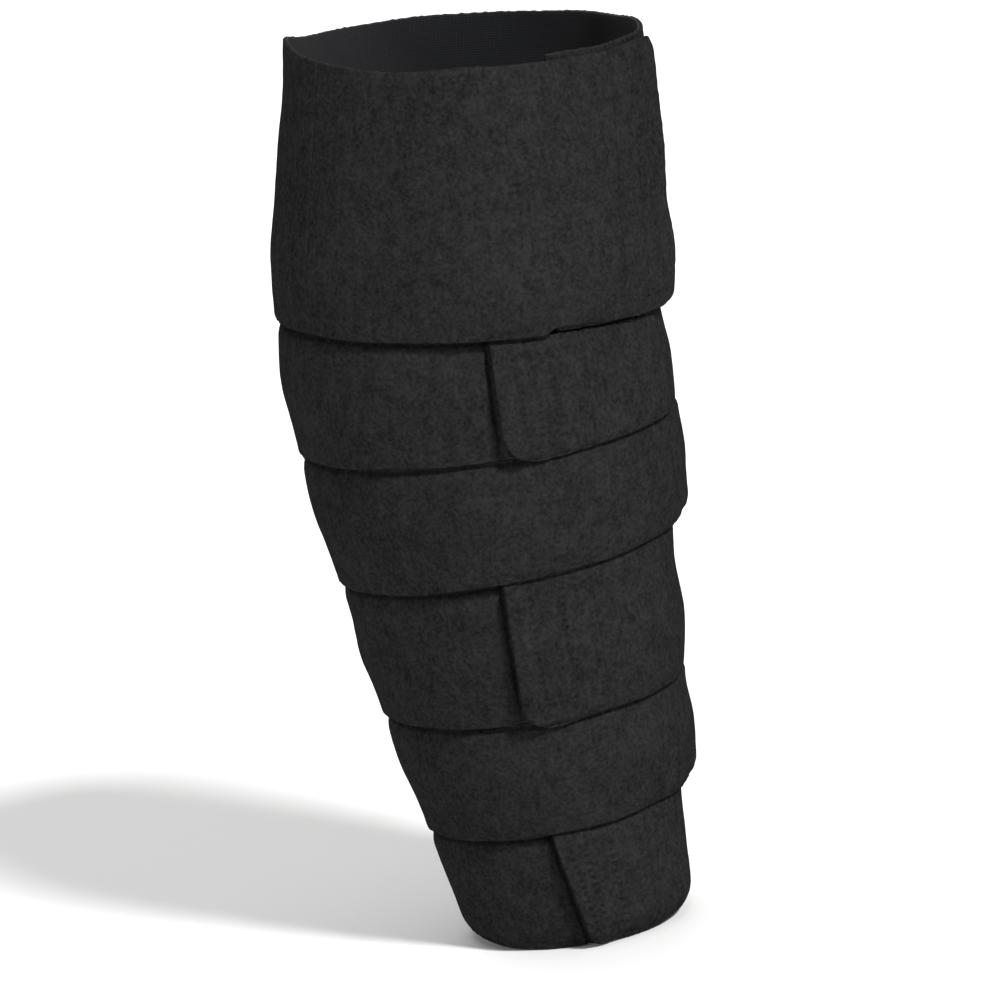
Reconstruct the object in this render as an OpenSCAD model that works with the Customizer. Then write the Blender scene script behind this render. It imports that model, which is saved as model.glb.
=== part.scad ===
// Leg wrap of six overlapping fabric bands, each closed by a hook tab, with a gel cold pack in an inner pocket.
// Millimetres, +Z up, the lower rim stands on Z = 0, the shin faces +X and the calf faces -X.
// Bands are numbered from the ankle up. Angles run counter-clockwise around the leg, from 0 at the shin.

/* [Leg] */
// Radius of the leg side of the wrap at each edge, from the lower rim up to the upper rim
edge_radius = [37.7, 41.8, 49.5, 55.7, 61.4, 62.8, 59.6]; // [30:0.1:90]
// How far the centre of each edge stands towards the shin, from the lower rim up
edge_shift = [-1.4, -3.1, -4.1, -5.2, -5.5, -4.4, 8.4]; // [-15:0.1:15]
// How far each edge drops towards the shin, in degrees, from the lower rim up
edge_lean = [0, -2.4, 0.4, -2.2, 1.6, 6.1, 5.0]; // [-4:0.1:10]

/* [Bands] */
// How much of each band shows below the next one, from the lowest band up
band_show = [43.8, 41.5, 51.4, 43.1, 42.2, 90.0]; // [36:0.1:120]
// How far a band's upper part is tucked under the band above it
tuck = 18; // [10:0.5:22]
// Length over which a band settles back onto the leg above the band that is tucked under it
settle = 22; // [10:0.5:22]
// Gap between the upper edge of an arm and the lower edge of the band above it
edge_gap = 0.8; // [0.6:0.1:2]
// How far the lower edge of an arm hangs below the layer that it closes over
arm_drop = 0.4; // [0.2:0.1:0.5]
// How far the top band's inner layer stands above its arm at the upper rim
rim_step = 1.4; // [0:0.1:3]

/* [Fabric] */
// Thickness of the band fabric
fabric = 1.8; // [1.2:0.1:2.6]
// Clearance between layers that lie on each other
layer_gap = 0.3; // [0.25:0.05:0.5]
// Clearance inside a stitched seam
seam_gap = 0.2; // [0.15:0.05:0.3]
// Thickness of the hook tape on the tabs
hook_tape = 1.0; // [0.6:0.1:1.6]
// Thickness of the spine tape
spine_tape_thick = 1.2; // [0.6:0.1:2]
// Width of the spine tape
spine_width = 22; // [12:1:26]

/* [Arms and tabs] */
// Angle of each arm's fold line, from the lowest band up
fold_angle = [20, 215, 20, 215, 20, 215]; // [0:1:360]
// Angle at which each tab ends, from the lowest band up
tab_angle = [-92, 368, -96, 368, -86, 345]; // [-110:1:370]
// Angle at which the layer under each tab ends, from the lowest band up
under_angle = [320, -45, 320, -45, 320, -65]; // [-80:1:330]
// Length of a tab, from its peel line to its end
tab_length = 32; // [28:0.5:40]
// Radius of each tab's rounded lower corner, from the lowest band up
tab_corner = [3, 9, 9, 9, 9, 9]; // [2:0.5:12]
// How far the lowest tab's end slants, in degrees between its lower and its upper edge
tab_slant = 8; // [0:0.5:12]
// Width of the hook patch
patch_width = 18; // [12:0.5:22]
// Margin between a hook patch and the end of its tab
patch_end_margin = 3; // [2:0.5:5]
// Margin between a hook patch and the upper and lower edges of its tab
patch_edge_margin = 4.5; // [4:0.5:8]

/* [Cold pack] */
// Angle at the middle of the pocket
pocket_angle = 172; // [165:1:176]
// Half of the pocket's width, in degrees
pocket_half = 36; // [24:1:38]
// Height of the pocket's lower edge above the top band's lower edge
pocket_foot = 6; // [3:0.5:15]
// Height of the pocket's mouth above the top band's lower edge
pocket_mouth = 78; // [60:0.5:84]
// Thickness of the pocket's knit panel
panel_thick = 0.8; // [0.5:0.1:1.2]
// Thickness of the filled cold pack
pack_thick = 6.8; // [4:0.1:10]
// Thickness of the film that the pack is welded from
film = 0.3; // [0.2:0.05:0.5]
// Width of the welded rim around the pack
weld = 5; // [3:0.5:8]
// Clearance between the cold pack and its pocket
pack_gap = 0.4; // [0.3:0.05:1]

/* [Hidden] */
bands = len(band_show);
// Facets around the leg: every layer shares the same grid of angles, so that layers stay parallel.
facet = 7.5;
// One layer with its clearance
layer = fabric + layer_gap;
// How far an arm stands outside the layer that it closes over
arm_lift = layer + hook_tape + seam_gap;
// Height of each edge's centre: the sum of what shows of the bands below it
edge_z = [for (e = [0:bands]) sum_to(band_show, e)];
// Length over which an arm climbs onto the layer that it closes over, in degrees before that layer's end
climb_margin = 6;
climb_start = 8;
loop_black = "#2b2b2d";
tape_black = "#1c1c1e";
knit_grey = "#3a3b3f";
film_blue = "#9fc4dd";
gel_blue = "#3f86c4";

function sum_to(list, n) = n == 0 ? 0 : list[n - 1] + sum_to(list, n - 1);
function mix(a, b, t) = a + (b - a) * t;
function clamp(x, low, high) = max(low, min(high, x));
function smooth(x) = let (t = clamp(x, 0, 1)) t * t * (3 - 2 * t);
// A value at station s, where station 0 is the lower rim and each whole number is the next edge up
function at(list, s) = let (i = clamp(floor(s), 0, len(list) - 2)) mix(list[i], list[i + 1], s - i);

// A point at an angle around the leg, at station s and h outside the leg side of the wrap
function skin(angle, s, h) =
    let (r = at(edge_radius, s) + h, lean = at(edge_lean, s))
    [at(edge_shift, s) + r * cos(angle) * cos(lean), r * sin(angle), at(edge_z, s) - r * cos(angle) * sin(lean)];

// Angles from a up to b, with every facet line between them
function angles(a, b) = concat([a], [for (i = [ceil((a + 1) / facet):floor((b - 1) / facet)]) i * facet], [b]);
// A length along the band at station s, in degrees
function arc_angle(length, s) = length / (at(edge_radius, s) + layer + arm_lift) * 180 / PI;

// Band k lies between stations k - 1 and k.
function share(k, length) = length / band_show[k - 1];
function tuck_end(k) = k - 1 + share(k, tuck);
function settled(k) = min(k, tuck_end(k) + share(k, settle));
// How far band k's fixed layer stands off the leg side: it lies over the tucked part of the band below
function strip_level(k, s) = k == 1 ? 0 : layer * clamp((settled(k) - s) / (settled(k) - tuck_end(k)), 0, 1);
// +1 where an arm runs counter-clockwise from its fold line, -1 where it runs clockwise
function way(k) = tab_angle[k - 1] > fold_angle[k - 1] ? 1 : -1;
// How far round from the fold line an angle on the arm is
function along(k, angle) = way(k) * (angle - fold_angle[k - 1]);
// How far round from the fold line the layer under the arm ends
function under_along(k) = 360 - abs(fold_angle[k - 1] - under_angle[k - 1]);
function arm_level(k, angle, s) =
    strip_level(k, s) + arm_lift * smooth((along(k, angle) - climb_start) / (under_along(k) - climb_margin - climb_start));
function peel_angle(k) = tab_angle[k - 1] - way(k) * arc_angle(tab_length, k - 0.5);

// Stations of the rows of band k's pieces
function arm_foot(k) = k - 1 + share(k, k == 1 ? arm_drop : -arm_drop);
function arm_top(k) = k == bands ? k : k - share(k, edge_gap);
function inner_rows(k) = concat(settled(k) < k - 0.05 ? [tuck_end(k), settled(k)] : [tuck_end(k)]);
function strip_rows(k) = concat([k - 1], inner_rows(k),
    k == bands ? [k + share(k, rim_step)] : [k, k + share(k + 1, tuck - 0.5)]);
function arm_rows(k, foot, top) = concat([foot], [for (s = inner_rows(k)) if (s < top - 0.01) s], [top]);

// A closed sheet between two grids of points, given as columns around the leg of rows upwards
module sheet(inner, outer) {
    cols = len(inner);
    rows = len(inner[0]);
    far = cols * rows;
    function id(i, j) = i * rows + j;
    quads = concat(
        [for (i = [0:cols - 2], j = [0:rows - 2]) [id(i, j), id(i + 1, j), id(i + 1, j + 1), id(i, j + 1)]],
        [for (i = [0:cols - 2], j = [0:rows - 2])
            [far + id(i, j), far + id(i, j + 1), far + id(i + 1, j + 1), far + id(i + 1, j)]],
        [for (i = [0:cols - 2]) [id(i, 0), far + id(i, 0), far + id(i + 1, 0), id(i + 1, 0)]],
        [for (i = [0:cols - 2], j = [rows - 1]) [id(i, j), id(i + 1, j), far + id(i + 1, j), far + id(i, j)]],
        [for (j = [0:rows - 2]) [id(0, j), id(0, j + 1), far + id(0, j + 1), far + id(0, j)]],
        [for (i = [cols - 1], j = [0:rows - 2]) [id(i, j), far + id(i, j), far + id(i, j + 1), id(i, j + 1)]]);
    polyhedron(
        points = concat([for (c = inner) each c], [for (c = outer) each c]),
        faces = [for (q = quads) each [[q[0], q[1], q[2]], [q[0], q[2], q[3]]]]);
}

// The fixed layer of band k, sewn to the spine tape, from the fold line round the back to its free end
module strip(k) {
    slit = way(k) * arc_angle(layer_gap, k - 0.5);
    fold = fold_angle[k - 1] - slit;
    cols = angles(min(fold, under_angle[k - 1]), max(fold, under_angle[k - 1]));
    rows = strip_rows(k);
    color(loop_black)
        sheet([for (a = cols) [for (s = rows) skin(a, s, strip_level(k, s))]],
            [for (a = cols) [for (s = rows) skin(a, s, strip_level(k, s) + fabric)]]);
}

// The part of band k that swings open about its fold line
module arm(k) {
    slit = way(k) * arc_angle(layer_gap, k - 0.5);
    from = fold_angle[k - 1];
    to = peel_angle(k) - slit;
    cols = angles(min(from, to), max(from, to));
    rows = arm_rows(k, arm_foot(k), arm_top(k));
    color(loop_black)
        sheet([for (a = cols) [for (s = rows) skin(a, s, arm_level(k, a, s))]],
            [for (a = cols) [for (s = rows) skin(a, s, arm_level(k, a, s) + fabric)]]);
}

// How far the end of tab k leans at station s, as a shift in degrees
function slant(k, angle, s) =
    k > 1 ? 0 : tab_slant * (0.5 - (s - k + 1)) * clamp((along(k, angle) - along(k, peel_angle(k)))
        / (along(k, tab_angle[k - 1]) - along(k, peel_angle(k))), 0, 1);
function tab_point(k, angle, s, h) = skin(angle + slant(k, angle, s), s, arm_level(k, angle, s) + h);
// Height of the tab's lower edge above the arm's, at a distance d from the end of a tab with corner radius r
function corner_lift(r, d) = d >= r ? 0 : r - sqrt(r ^ 2 - (r - max(d, 0)) ^ 2);
// Angles of the tab's columns: facet lines, then the points of the rounded corner
function corner_angles(k) = [for (turn = [0:15:90])
    tab_angle[k - 1] - way(k) * arc_angle(tab_corner[k - 1] * (1 - sin(turn)), k - 0.5)];
function tab_columns(k) =
    let (a = peel_angle(k), b = corner_angles(k)[0], low = angles(min(a, b), max(a, b)), rest = corner_angles(k))
    way(k) > 0 ? concat([for (i = [0:len(low) - 2]) low[i]], rest)
        : concat([for (i = [len(rest) - 1:-1:0]) rest[i]], [for (i = [1:len(low) - 1]) low[i]]);

// The end of band k's arm, which peels away first
module tab(k) {
    cols = tab_columns(k);
    function foot(a) = arm_foot(k) + share(k, corner_lift(tab_corner[k - 1],
        abs(a - tab_angle[k - 1]) / arc_angle(1, k - 0.5)));
    color(loop_black)
        sheet([for (a = cols) [for (s = arm_rows(k, foot(a), arm_top(k))) tab_point(k, a, s, 0)]],
            [for (a = cols) [for (s = arm_rows(k, foot(a), arm_top(k))) tab_point(k, a, s, fabric)]]);
}

// The hook tape that is sewn to the inside of band k's tab
module hook_patch(k) {
    a = tab_angle[k - 1] - way(k) * arc_angle(patch_end_margin, k - 0.5);
    b = a - way(k) * arc_angle(patch_width, k - 0.5);
    cols = angles(min(a, b), max(a, b));
    rows = arm_rows(k, arm_foot(k) + share(k, patch_edge_margin), arm_top(k) - share(k, patch_edge_margin));
    color(tape_black)
        sheet([for (c = cols) [for (s = rows) tab_point(k, c, s, -seam_gap - hook_tape)]],
            [for (c = cols) [for (s = rows) tab_point(k, c, s, -seam_gap)]]);
}

// The tape inside the calf that the bands are sewn to
module spine_tape() {
    rows = concat([share(1, 4)], [for (s = [1:bands - 1]) s]);
    half = [for (s = rows) spine_width / 2 / at(edge_radius, s) * 180 / PI];
    steps = [-1, -0.5, 0, 0.5, 1];
    color(tape_black)
        sheet([for (t = steps) [for (j = [0:len(rows) - 1])
                skin(180 + t * half[j], rows[j], -layer_gap - spine_tape_thick)]],
            [for (t = steps) [for (j = [0:len(rows) - 1]) skin(180 + t * half[j], rows[j], -layer_gap)]]);
}

// The pocket and the cold pack keep one cross-section along the top band, so that the pack slides out upwards.
lane_radius = min(edge_radius[bands - 1], edge_radius[bands]);
lane_lean = (edge_lean[bands - 1] + edge_lean[bands]) / 2;
lane_slope = (edge_shift[bands] - edge_shift[bands - 1]) / band_show[bands - 1];
function lane(angle, up, h) =
    let (r = lane_radius + h)
    [edge_shift[bands - 1] + lane_slope * up + r * cos(angle) * cos(lane_lean), r * sin(angle),
        edge_z[bands - 1] + up - r * cos(angle) * sin(lane_lean)];
function lane_angle(length) = length / lane_radius * 180 / PI;
flange = 4;
pocket_rise = 5.5;
pocket_depth = pack_thick + 2 * pack_gap;
pocket_left = pocket_angle - pocket_half;
pocket_right = pocket_angle + pocket_half;
// How far the panel stands off the band: flat along its seams, and full depth over the pack
function panel_level(angle, up) = pocket_depth * clamp(min(
    (angle - pocket_left) / lane_angle(pocket_rise), (pocket_right - angle) / lane_angle(pocket_rise),
    (up - pocket_foot) / pocket_rise), 0, 1);
pocket_cols = concat([pocket_left - lane_angle(flange)], [pocket_left],
    angles(pocket_left + lane_angle(pocket_rise), pocket_right - lane_angle(pocket_rise)),
    [pocket_right], [pocket_right + lane_angle(flange)]);
pocket_rows = [pocket_foot - flange, pocket_foot, pocket_foot + pocket_rise, pocket_mouth];

// The knit pocket inside the top band, open at its upper edge
module pocket_panel() {
    color(knit_grey)
        sheet([for (a = pocket_cols) [for (u = pocket_rows) lane(a, u, -seam_gap - panel_level(a, u) - panel_thick)]],
            [for (a = pocket_cols) [for (u = pocket_rows) lane(a, u, -seam_gap - panel_level(a, u))]]);
}

// The tape that binds the pocket's mouth
module pocket_binding() {
    depth = seam_gap + pocket_depth + panel_thick + seam_gap;
    cols = angles(pocket_left + lane_angle(pocket_rise), pocket_right - lane_angle(pocket_rise));
    rows = [pocket_mouth - 9, pocket_mouth];
    color(tape_black)
        sheet([for (a = cols) [for (u = rows) lane(a, u, -depth - panel_thick)]],
            [for (a = cols) [for (u = rows) lane(a, u, -depth)]]);
}

// The cold pack stands clear of the pocket's seams
pack_left = pocket_left + lane_angle(pocket_rise + 1);
pack_right = pocket_right - lane_angle(pocket_rise + 1);
pack_foot = pocket_foot + pocket_rise + 1;
pack_top = pocket_mouth - 2;
// Share of the gel's depth at a place on the pack: none on the welded rim, all of it inside
function fill(angle, up) = clamp(min(
    (angle - pack_left) / lane_angle(weld) - 1, (pack_right - angle) / lane_angle(weld) - 1,
    (up - pack_foot) / weld - 1, (pack_top - up) / weld - 1), 0, 1);
pack_cols = concat([pack_left, pack_left + lane_angle(weld)],
    angles(pack_left + lane_angle(2 * weld), pack_right - lane_angle(2 * weld)),
    [pack_right - lane_angle(weld), pack_right]);
pack_rows = [pack_foot, pack_foot + weld, pack_foot + 2 * weld, pack_top - 2 * weld, pack_top - weld, pack_top];
gel_depth = pack_thick - 2 * film - 2 * seam_gap;

// The pack's film on the side of the band
module cold_pack_back_film() {
    color(film_blue)
        sheet([for (a = pack_cols) [for (u = pack_rows) lane(a, u, -pack_gap - film)]],
            [for (a = pack_cols) [for (u = pack_rows) lane(a, u, -pack_gap)]]);
}

// The pack's film on the side of the leg, which bulges over the gel and is welded to the other film at the rim
module cold_pack_front_film() {
    depth = pack_gap + film + seam_gap;
    color(film_blue)
        sheet([for (a = pack_cols) [for (u = pack_rows)
                lane(a, u, -depth - film - (gel_depth + seam_gap) * fill(a, u))]],
            [for (a = pack_cols) [for (u = pack_rows) lane(a, u, -depth - (gel_depth + seam_gap) * fill(a, u))]]);
}

// The gel, in cells side by side between the films
gel_cells = [3, 2];
module cold_pack_gel() {
    depth = pack_gap + film + seam_gap;
    left = pack_left + lane_angle(2 * weld);
    foot = pack_foot + 2 * weld;
    span = (pack_right - pack_left - lane_angle(4 * weld)) / gel_cells[0];
    rise = (pack_top - pack_foot - 4 * weld) / gel_cells[1];
    color(gel_blue)
        for (i = [0:gel_cells[0] - 1], j = [0:gel_cells[1] - 1]) {
            cols = angles(left + i * span + 1, left + (i + 1) * span - 1);
            rows = [foot + j * rise + 1, foot + (j + 1) * rise - 1];
            sheet([for (a = cols) [for (u = rows) lane(a, u, -depth - gel_depth)]],
                [for (a = cols) [for (u = rows) lane(a, u, -depth)]]);
        }
}

for (k = [1:bands]) {
    strip(k);
    arm(k);
    tab(k);
    hook_patch(k);
}
spine_tape();
pocket_panel();
pocket_binding();
cold_pack_back_film();
cold_pack_front_film();
cold_pack_gel();
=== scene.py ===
"""A cold compression wrap for the lower leg: six overlapping bands of brushed loop cloth, each closed by a
hook tab, on a spine tape, with a knit pocket inside the top band that holds a gel cold pack.

Run as a script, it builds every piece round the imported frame. The bands are numbered from the ankle up.
Angles run counter-clockwise round the leg, from 0 at the shin. A station is a place up the leg: 0 is the
lower rim and each whole number is the next band edge. A height is how far outside the leg side a point lies.
"""

import bpy
import numpy as np
from mathutils import Matrix, Vector


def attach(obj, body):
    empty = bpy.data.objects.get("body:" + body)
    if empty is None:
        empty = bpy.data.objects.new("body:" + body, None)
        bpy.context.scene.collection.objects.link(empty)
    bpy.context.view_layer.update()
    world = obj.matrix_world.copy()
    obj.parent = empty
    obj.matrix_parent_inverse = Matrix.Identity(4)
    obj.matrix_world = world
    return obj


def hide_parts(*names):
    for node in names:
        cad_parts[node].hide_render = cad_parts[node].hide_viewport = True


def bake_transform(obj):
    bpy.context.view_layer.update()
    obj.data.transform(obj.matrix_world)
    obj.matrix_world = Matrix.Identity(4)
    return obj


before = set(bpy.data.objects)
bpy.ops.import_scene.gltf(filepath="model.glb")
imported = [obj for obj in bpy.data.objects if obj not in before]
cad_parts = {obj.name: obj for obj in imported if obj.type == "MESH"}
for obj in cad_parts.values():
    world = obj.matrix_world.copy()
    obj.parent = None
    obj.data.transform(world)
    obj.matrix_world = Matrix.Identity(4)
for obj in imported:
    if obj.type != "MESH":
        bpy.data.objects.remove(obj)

bl_info = {
    "name": "Cold compression wrap",
    "version": (1, 0, 0),
    "blender": (4, 5, 0),
    "location": "3D View > Sidebar > Wrap",
    "description": "Cloth, tapes, stitching, pocket and cold pack of a lower-leg compression wrap",
    "category": "Object",
}

MM = 0.001
HALF_TURN, FULL_TURN = np.pi, 2 * np.pi
LOOP, LINING, CUT = 0, 1, 2
ROUNDED = np.array([0, 0.04, 0.17, 0.4, 0.7, 1.0])  # rows of points over a rounded edge, by its radius


def millimetres(*values):
    """These lengths in metres."""
    return tuple(v * MM for v in values)


def degrees(*values):
    """These angles in radians."""
    return tuple(float(np.radians(v)) for v in values)


def lengths(name, description, *values):
    """A setting of several lengths, given in millimetres."""
    return bpy.props.FloatVectorProperty(
        name=name, description=description, size=len(values), unit="LENGTH", default=millimetres(*values))


def turns(name, description, *values):
    """A setting of several angles, given in degrees."""
    return bpy.props.FloatVectorProperty(
        name=name, description=description, size=len(values), subtype="NONE", unit="ROTATION",
        default=degrees(*values))


def length(name, description, value):
    """A setting of one length, given in millimetres."""
    return bpy.props.FloatProperty(name=name, description=description, unit="LENGTH", default=value * MM)


def turn(name, description, value):
    """A setting of one angle, given in degrees."""
    return bpy.props.FloatProperty(
        name=name, description=description, subtype="ANGLE", default=degrees(value)[0])


def colour(name, description, *values):
    """A setting of one colour."""
    return bpy.props.FloatVectorProperty(
        name=name, description=description, size=3, subtype="COLOR", min=0, max=1, default=values)


class WrapSizes(bpy.types.PropertyGroup):
    """The wrap's sizes, which are the frame's own"""
    edge_radius: lengths("Edge radii", "Leg side of the wrap at each edge, from the lower rim up",
                         37.7, 41.8, 49.5, 55.7, 61.4, 62.8, 59.6)
    edge_shift: lengths("Edge shifts", "How far each edge's centre stands towards the shin",
                        -1.4, -3.1, -4.1, -5.2, -5.5, -4.4, 8.4)
    edge_lean: turns("Edge leans", "How far each edge drops towards the shin",
                     0, -2.4, 0.4, -2.2, 1.6, 6.1, 5.0)
    band_show: lengths("Bands", "How much of each band shows below the next one",
                       43.8, 41.5, 51.4, 43.1, 42.2, 90.0)
    tuck: length("Tuck", "How far a band is tucked under the band above it", 18)
    settle: length("Settle", "Length over which a band settles back onto the leg above the one tucked in", 22)
    edge_gap: length("Edge gap", "Gap between an arm's upper edge and the band above it", 0.8)
    arm_drop: length("Arm drop", "How far an arm hangs below the layer that it closes over", 0.4)
    rim_step: length("Rim step", "How far the top band's inner layer stands above its arm", 1.4)
    fabric: length("Cloth", "Thickness of the band cloth", 1.8)
    layer_gap: length("Layer gap", "Clearance between layers that lie on each other", 0.3)
    seam_gap: length("Seam gap", "Clearance inside a stitched seam", 0.2)
    hook_tape: length("Hook tape", "Thickness of the hook tape with its hooks", 1.0)
    spine_tape_thick: length("Spine tape", "Thickness of the spine tape", 1.2)
    spine_width: length("Spine width", "Width of the spine tape", 22)
    fold_angle: turns("Fold angles", "Angle of each arm's fold line", 20, 215, 20, 215, 20, 215)
    tab_angle: turns("Tab angles", "Angle at which each tab ends", -92, 368, -96, 368, -86, 345)
    under_angle: turns("Under angles", "Angle at which the layer under each tab ends",
                       320, -45, 320, -45, 320, -65)
    tab_length: length("Tab length", "From a tab's peel line to its end", 32)
    tab_corner: lengths("Tab corners", "Radius of each tab's lower corner", 4, 9, 11, 9, 11.5, 9)
    tab_slant: turns("Tab slants", "Slant of each tab's end between its two edges", 8, 0, -1.6, 0, 0, 0)
    tab_shift: turns("Tab shifts", "How far each tab's end is pulled short", 2, 0, 2, 0, 0, 0)
    patch_width: length("Patch width", "Width of a hook patch", 18)
    patch_end_margin: length("Patch end margin", "From a hook patch to the end of its tab", 3)
    patch_edge_margin: length("Patch edge margin", "From a hook patch to its tab's upper and lower edge",
                              4.5)


class PackSizes(bpy.types.PropertyGroup):
    """Sizes of the pocket and of the cold pack in it"""
    pocket_angle: turn("Pocket angle", "Angle at the middle of the pocket", 172)
    pocket_half: turn("Pocket half", "Half of the pocket's width", 36)
    pocket_foot: length("Pocket foot", "Pocket's lower seam above the top band's lower edge", 6)
    pocket_mouth: length("Pocket mouth", "Pocket's mouth above the top band's lower edge", 78)
    flange: length("Flange", "Flat margin of the pocket outside its seam", 4)
    pocket_rise: length("Rise", "Length over which the pocket's panel rises to its full depth", 5.5)
    panel_thick: length("Panel", "Thickness of the pocket's knit panel", 0.8)
    binding_width: length("Binding", "Width of the tape that binds the pocket's mouth", 9)
    pack_thick: length("Pack", "Thickness of the filled cold pack", 6.8)
    film: length("Film", "Thickness of the film", 0.3)
    weld: length("Weld", "Width of the welded rim", 5)
    cell_weld: length("Cell weld", "Width of the welds between the cells", 2.4)
    pack_gap: length("Pack gap", "Clearance between the cold pack and its pocket", 0.4)
    cells: bpy.props.IntVectorProperty(
        name="Cells", description="Gel cells across and up the pack", size=2, min=1, default=(3, 2))


class ClothLook(bpy.types.PropertyGroup):
    """How the cloth lies, and its stitching"""
    grid: length("Grid", "Spacing of the cloth's mesh", 1.3)
    tab_grid: length("Tab grid", "Spacing of the mesh where the cloth is stitched", 0.55)
    rounding: length("Rounding", "Radius of the cloth's cut edges", 0.55)
    crease: length("Creases", "Height of the soft creases in the cloth", 0.22)
    crease_length: length("Crease length", "Shortest distance between two creases", 26)
    wander: length("Wander", "How far a cut edge wanders from its line", 0.35)
    fray: length("Fray", "How far the pile frays along a cut edge", 0.13)
    bulge: length("Bulge", "How far the top band swells at mid height", 1.9)
    puff: length("Puff", "How far each lower band puffs out at the calf, below the edge above it", 1.7)
    valley: length("Valley", "Depth of the groove that a band's edge presses into the cloth below it",
                   1.25)
    tab_press: length("Tab press", "Depth of the groove beside a tab's end", 1.15)
    dent: length("Dent", "How far the second band dents in at the shin", 1.7)
    rim_roll: length("Rim roll", "How far the lower rim rolls inwards", 2.3)
    rim_lift: length("Rim lift", "How far the lower rim stands up at the shin and the calf", 3.2)
    calf_rise: length("Calf rise", "How far the upper rim stands up at the calf", 4.2)
    tab_dip: lengths("Tab dips", "How far each tab's lower edge hangs at its end",
                     0.0, 0.4, 2.4, 0.4, 1.3, 0.4)
    tab_curl: length("Tab curl", "How far the lower corner of a tab's end stands off", 2.5)
    pinch: length("Pinch", "How far an arm's edges press in over the layer beneath", 0.95)
    peek: length("Peek", "How far the top band's inner layer shows below its arm", 2.2)
    rim_peek: length("Rim peek", "How much further it shows above its arm than the rim step", 0.5)
    bend: length("Bend", "Length over which the cloth bends at a fold or peel line", 13)
    stitch: length("Stitch", "Length of one stitch with its hole", 2.7)
    thread: length("Thread", "Thickness of the sewing thread", 0.34)
    dimple: length("Dimple", "How far a row of stitches pulls the cloth in", 0.85)


class WrapColours(bpy.types.PropertyGroup):
    """Colours of the cloth, the tapes and the cold pack"""
    pile_dark: colour("Pile, deep", "Loop pile between the loops", 0.0056, 0.0056, 0.0057)
    pile_light: colour("Pile, raised", "Loop pile where it stands up", 0.032, 0.032, 0.0324)
    lint: colour("Lint", "Specks of lint caught in the pile", 0.11, 0.11, 0.11)
    # Cut edge colour: the laminate core's own dark grey, darkened further as painted shade so that the gap
    # beside each tab's end reads deep.
    cut_edge_with_painted_shade: colour("Cut edge", "Core of the laminate at its cut edges", 0.016, 0.016, 0.0165)
    lining: colour("Lining", "Leg side of the cloth", 0.024, 0.025, 0.028)
    tape: colour("Tape", "Woven tapes", 0.012, 0.012, 0.013)
    hooks: colour("Hooks", "Moulded hooks", 0.016, 0.016, 0.018)
    thread: colour("Thread", "Sewing thread", 0.007, 0.007, 0.0075)
    knit: colour("Knit", "Pocket panel", 0.04, 0.042, 0.047)
    film: colour("Film", "Film of the cold pack", 0.62, 0.8, 0.92)
    gel: colour("Gel", "Gel in the cold pack", 0.05, 0.24, 0.62)
    floor: colour("Floor", "Floor", 0.88, 0.88, 0.875)


def smooth(x):
    """0 below 0, 1 above 1, and three x squared less two x cubed between."""
    t = np.clip(x, 0.0, 1.0)
    return t * t * (3 - 2 * t)


def waves(seed, angle, height, longest, shortest, count=14):
    """A wandering value of about -1 to 1: a sum of sines that close on themselves round the leg, each with a
    whole number of turns, a slope up the leg and a phase from a seeded generator."""
    draw = np.random.default_rng(seed)
    around = 0.36  # metres round the leg
    steady = 0.7  # keeps the sum within about one
    low, high = max(1, round(around / longest)), max(2, round(around / shortest))
    total = np.zeros(np.broadcast(angle, height).shape)
    for _ in range(count):
        turns_round = draw.integers(low, high + 1)
        rise = draw.uniform(-1, 1) * FULL_TURN / shortest
        phase = draw.uniform(0, FULL_TURN)
        total += np.sin(turns_round * angle + rise * height + phase)
    return total * np.sqrt(2 / count) * steady


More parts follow.
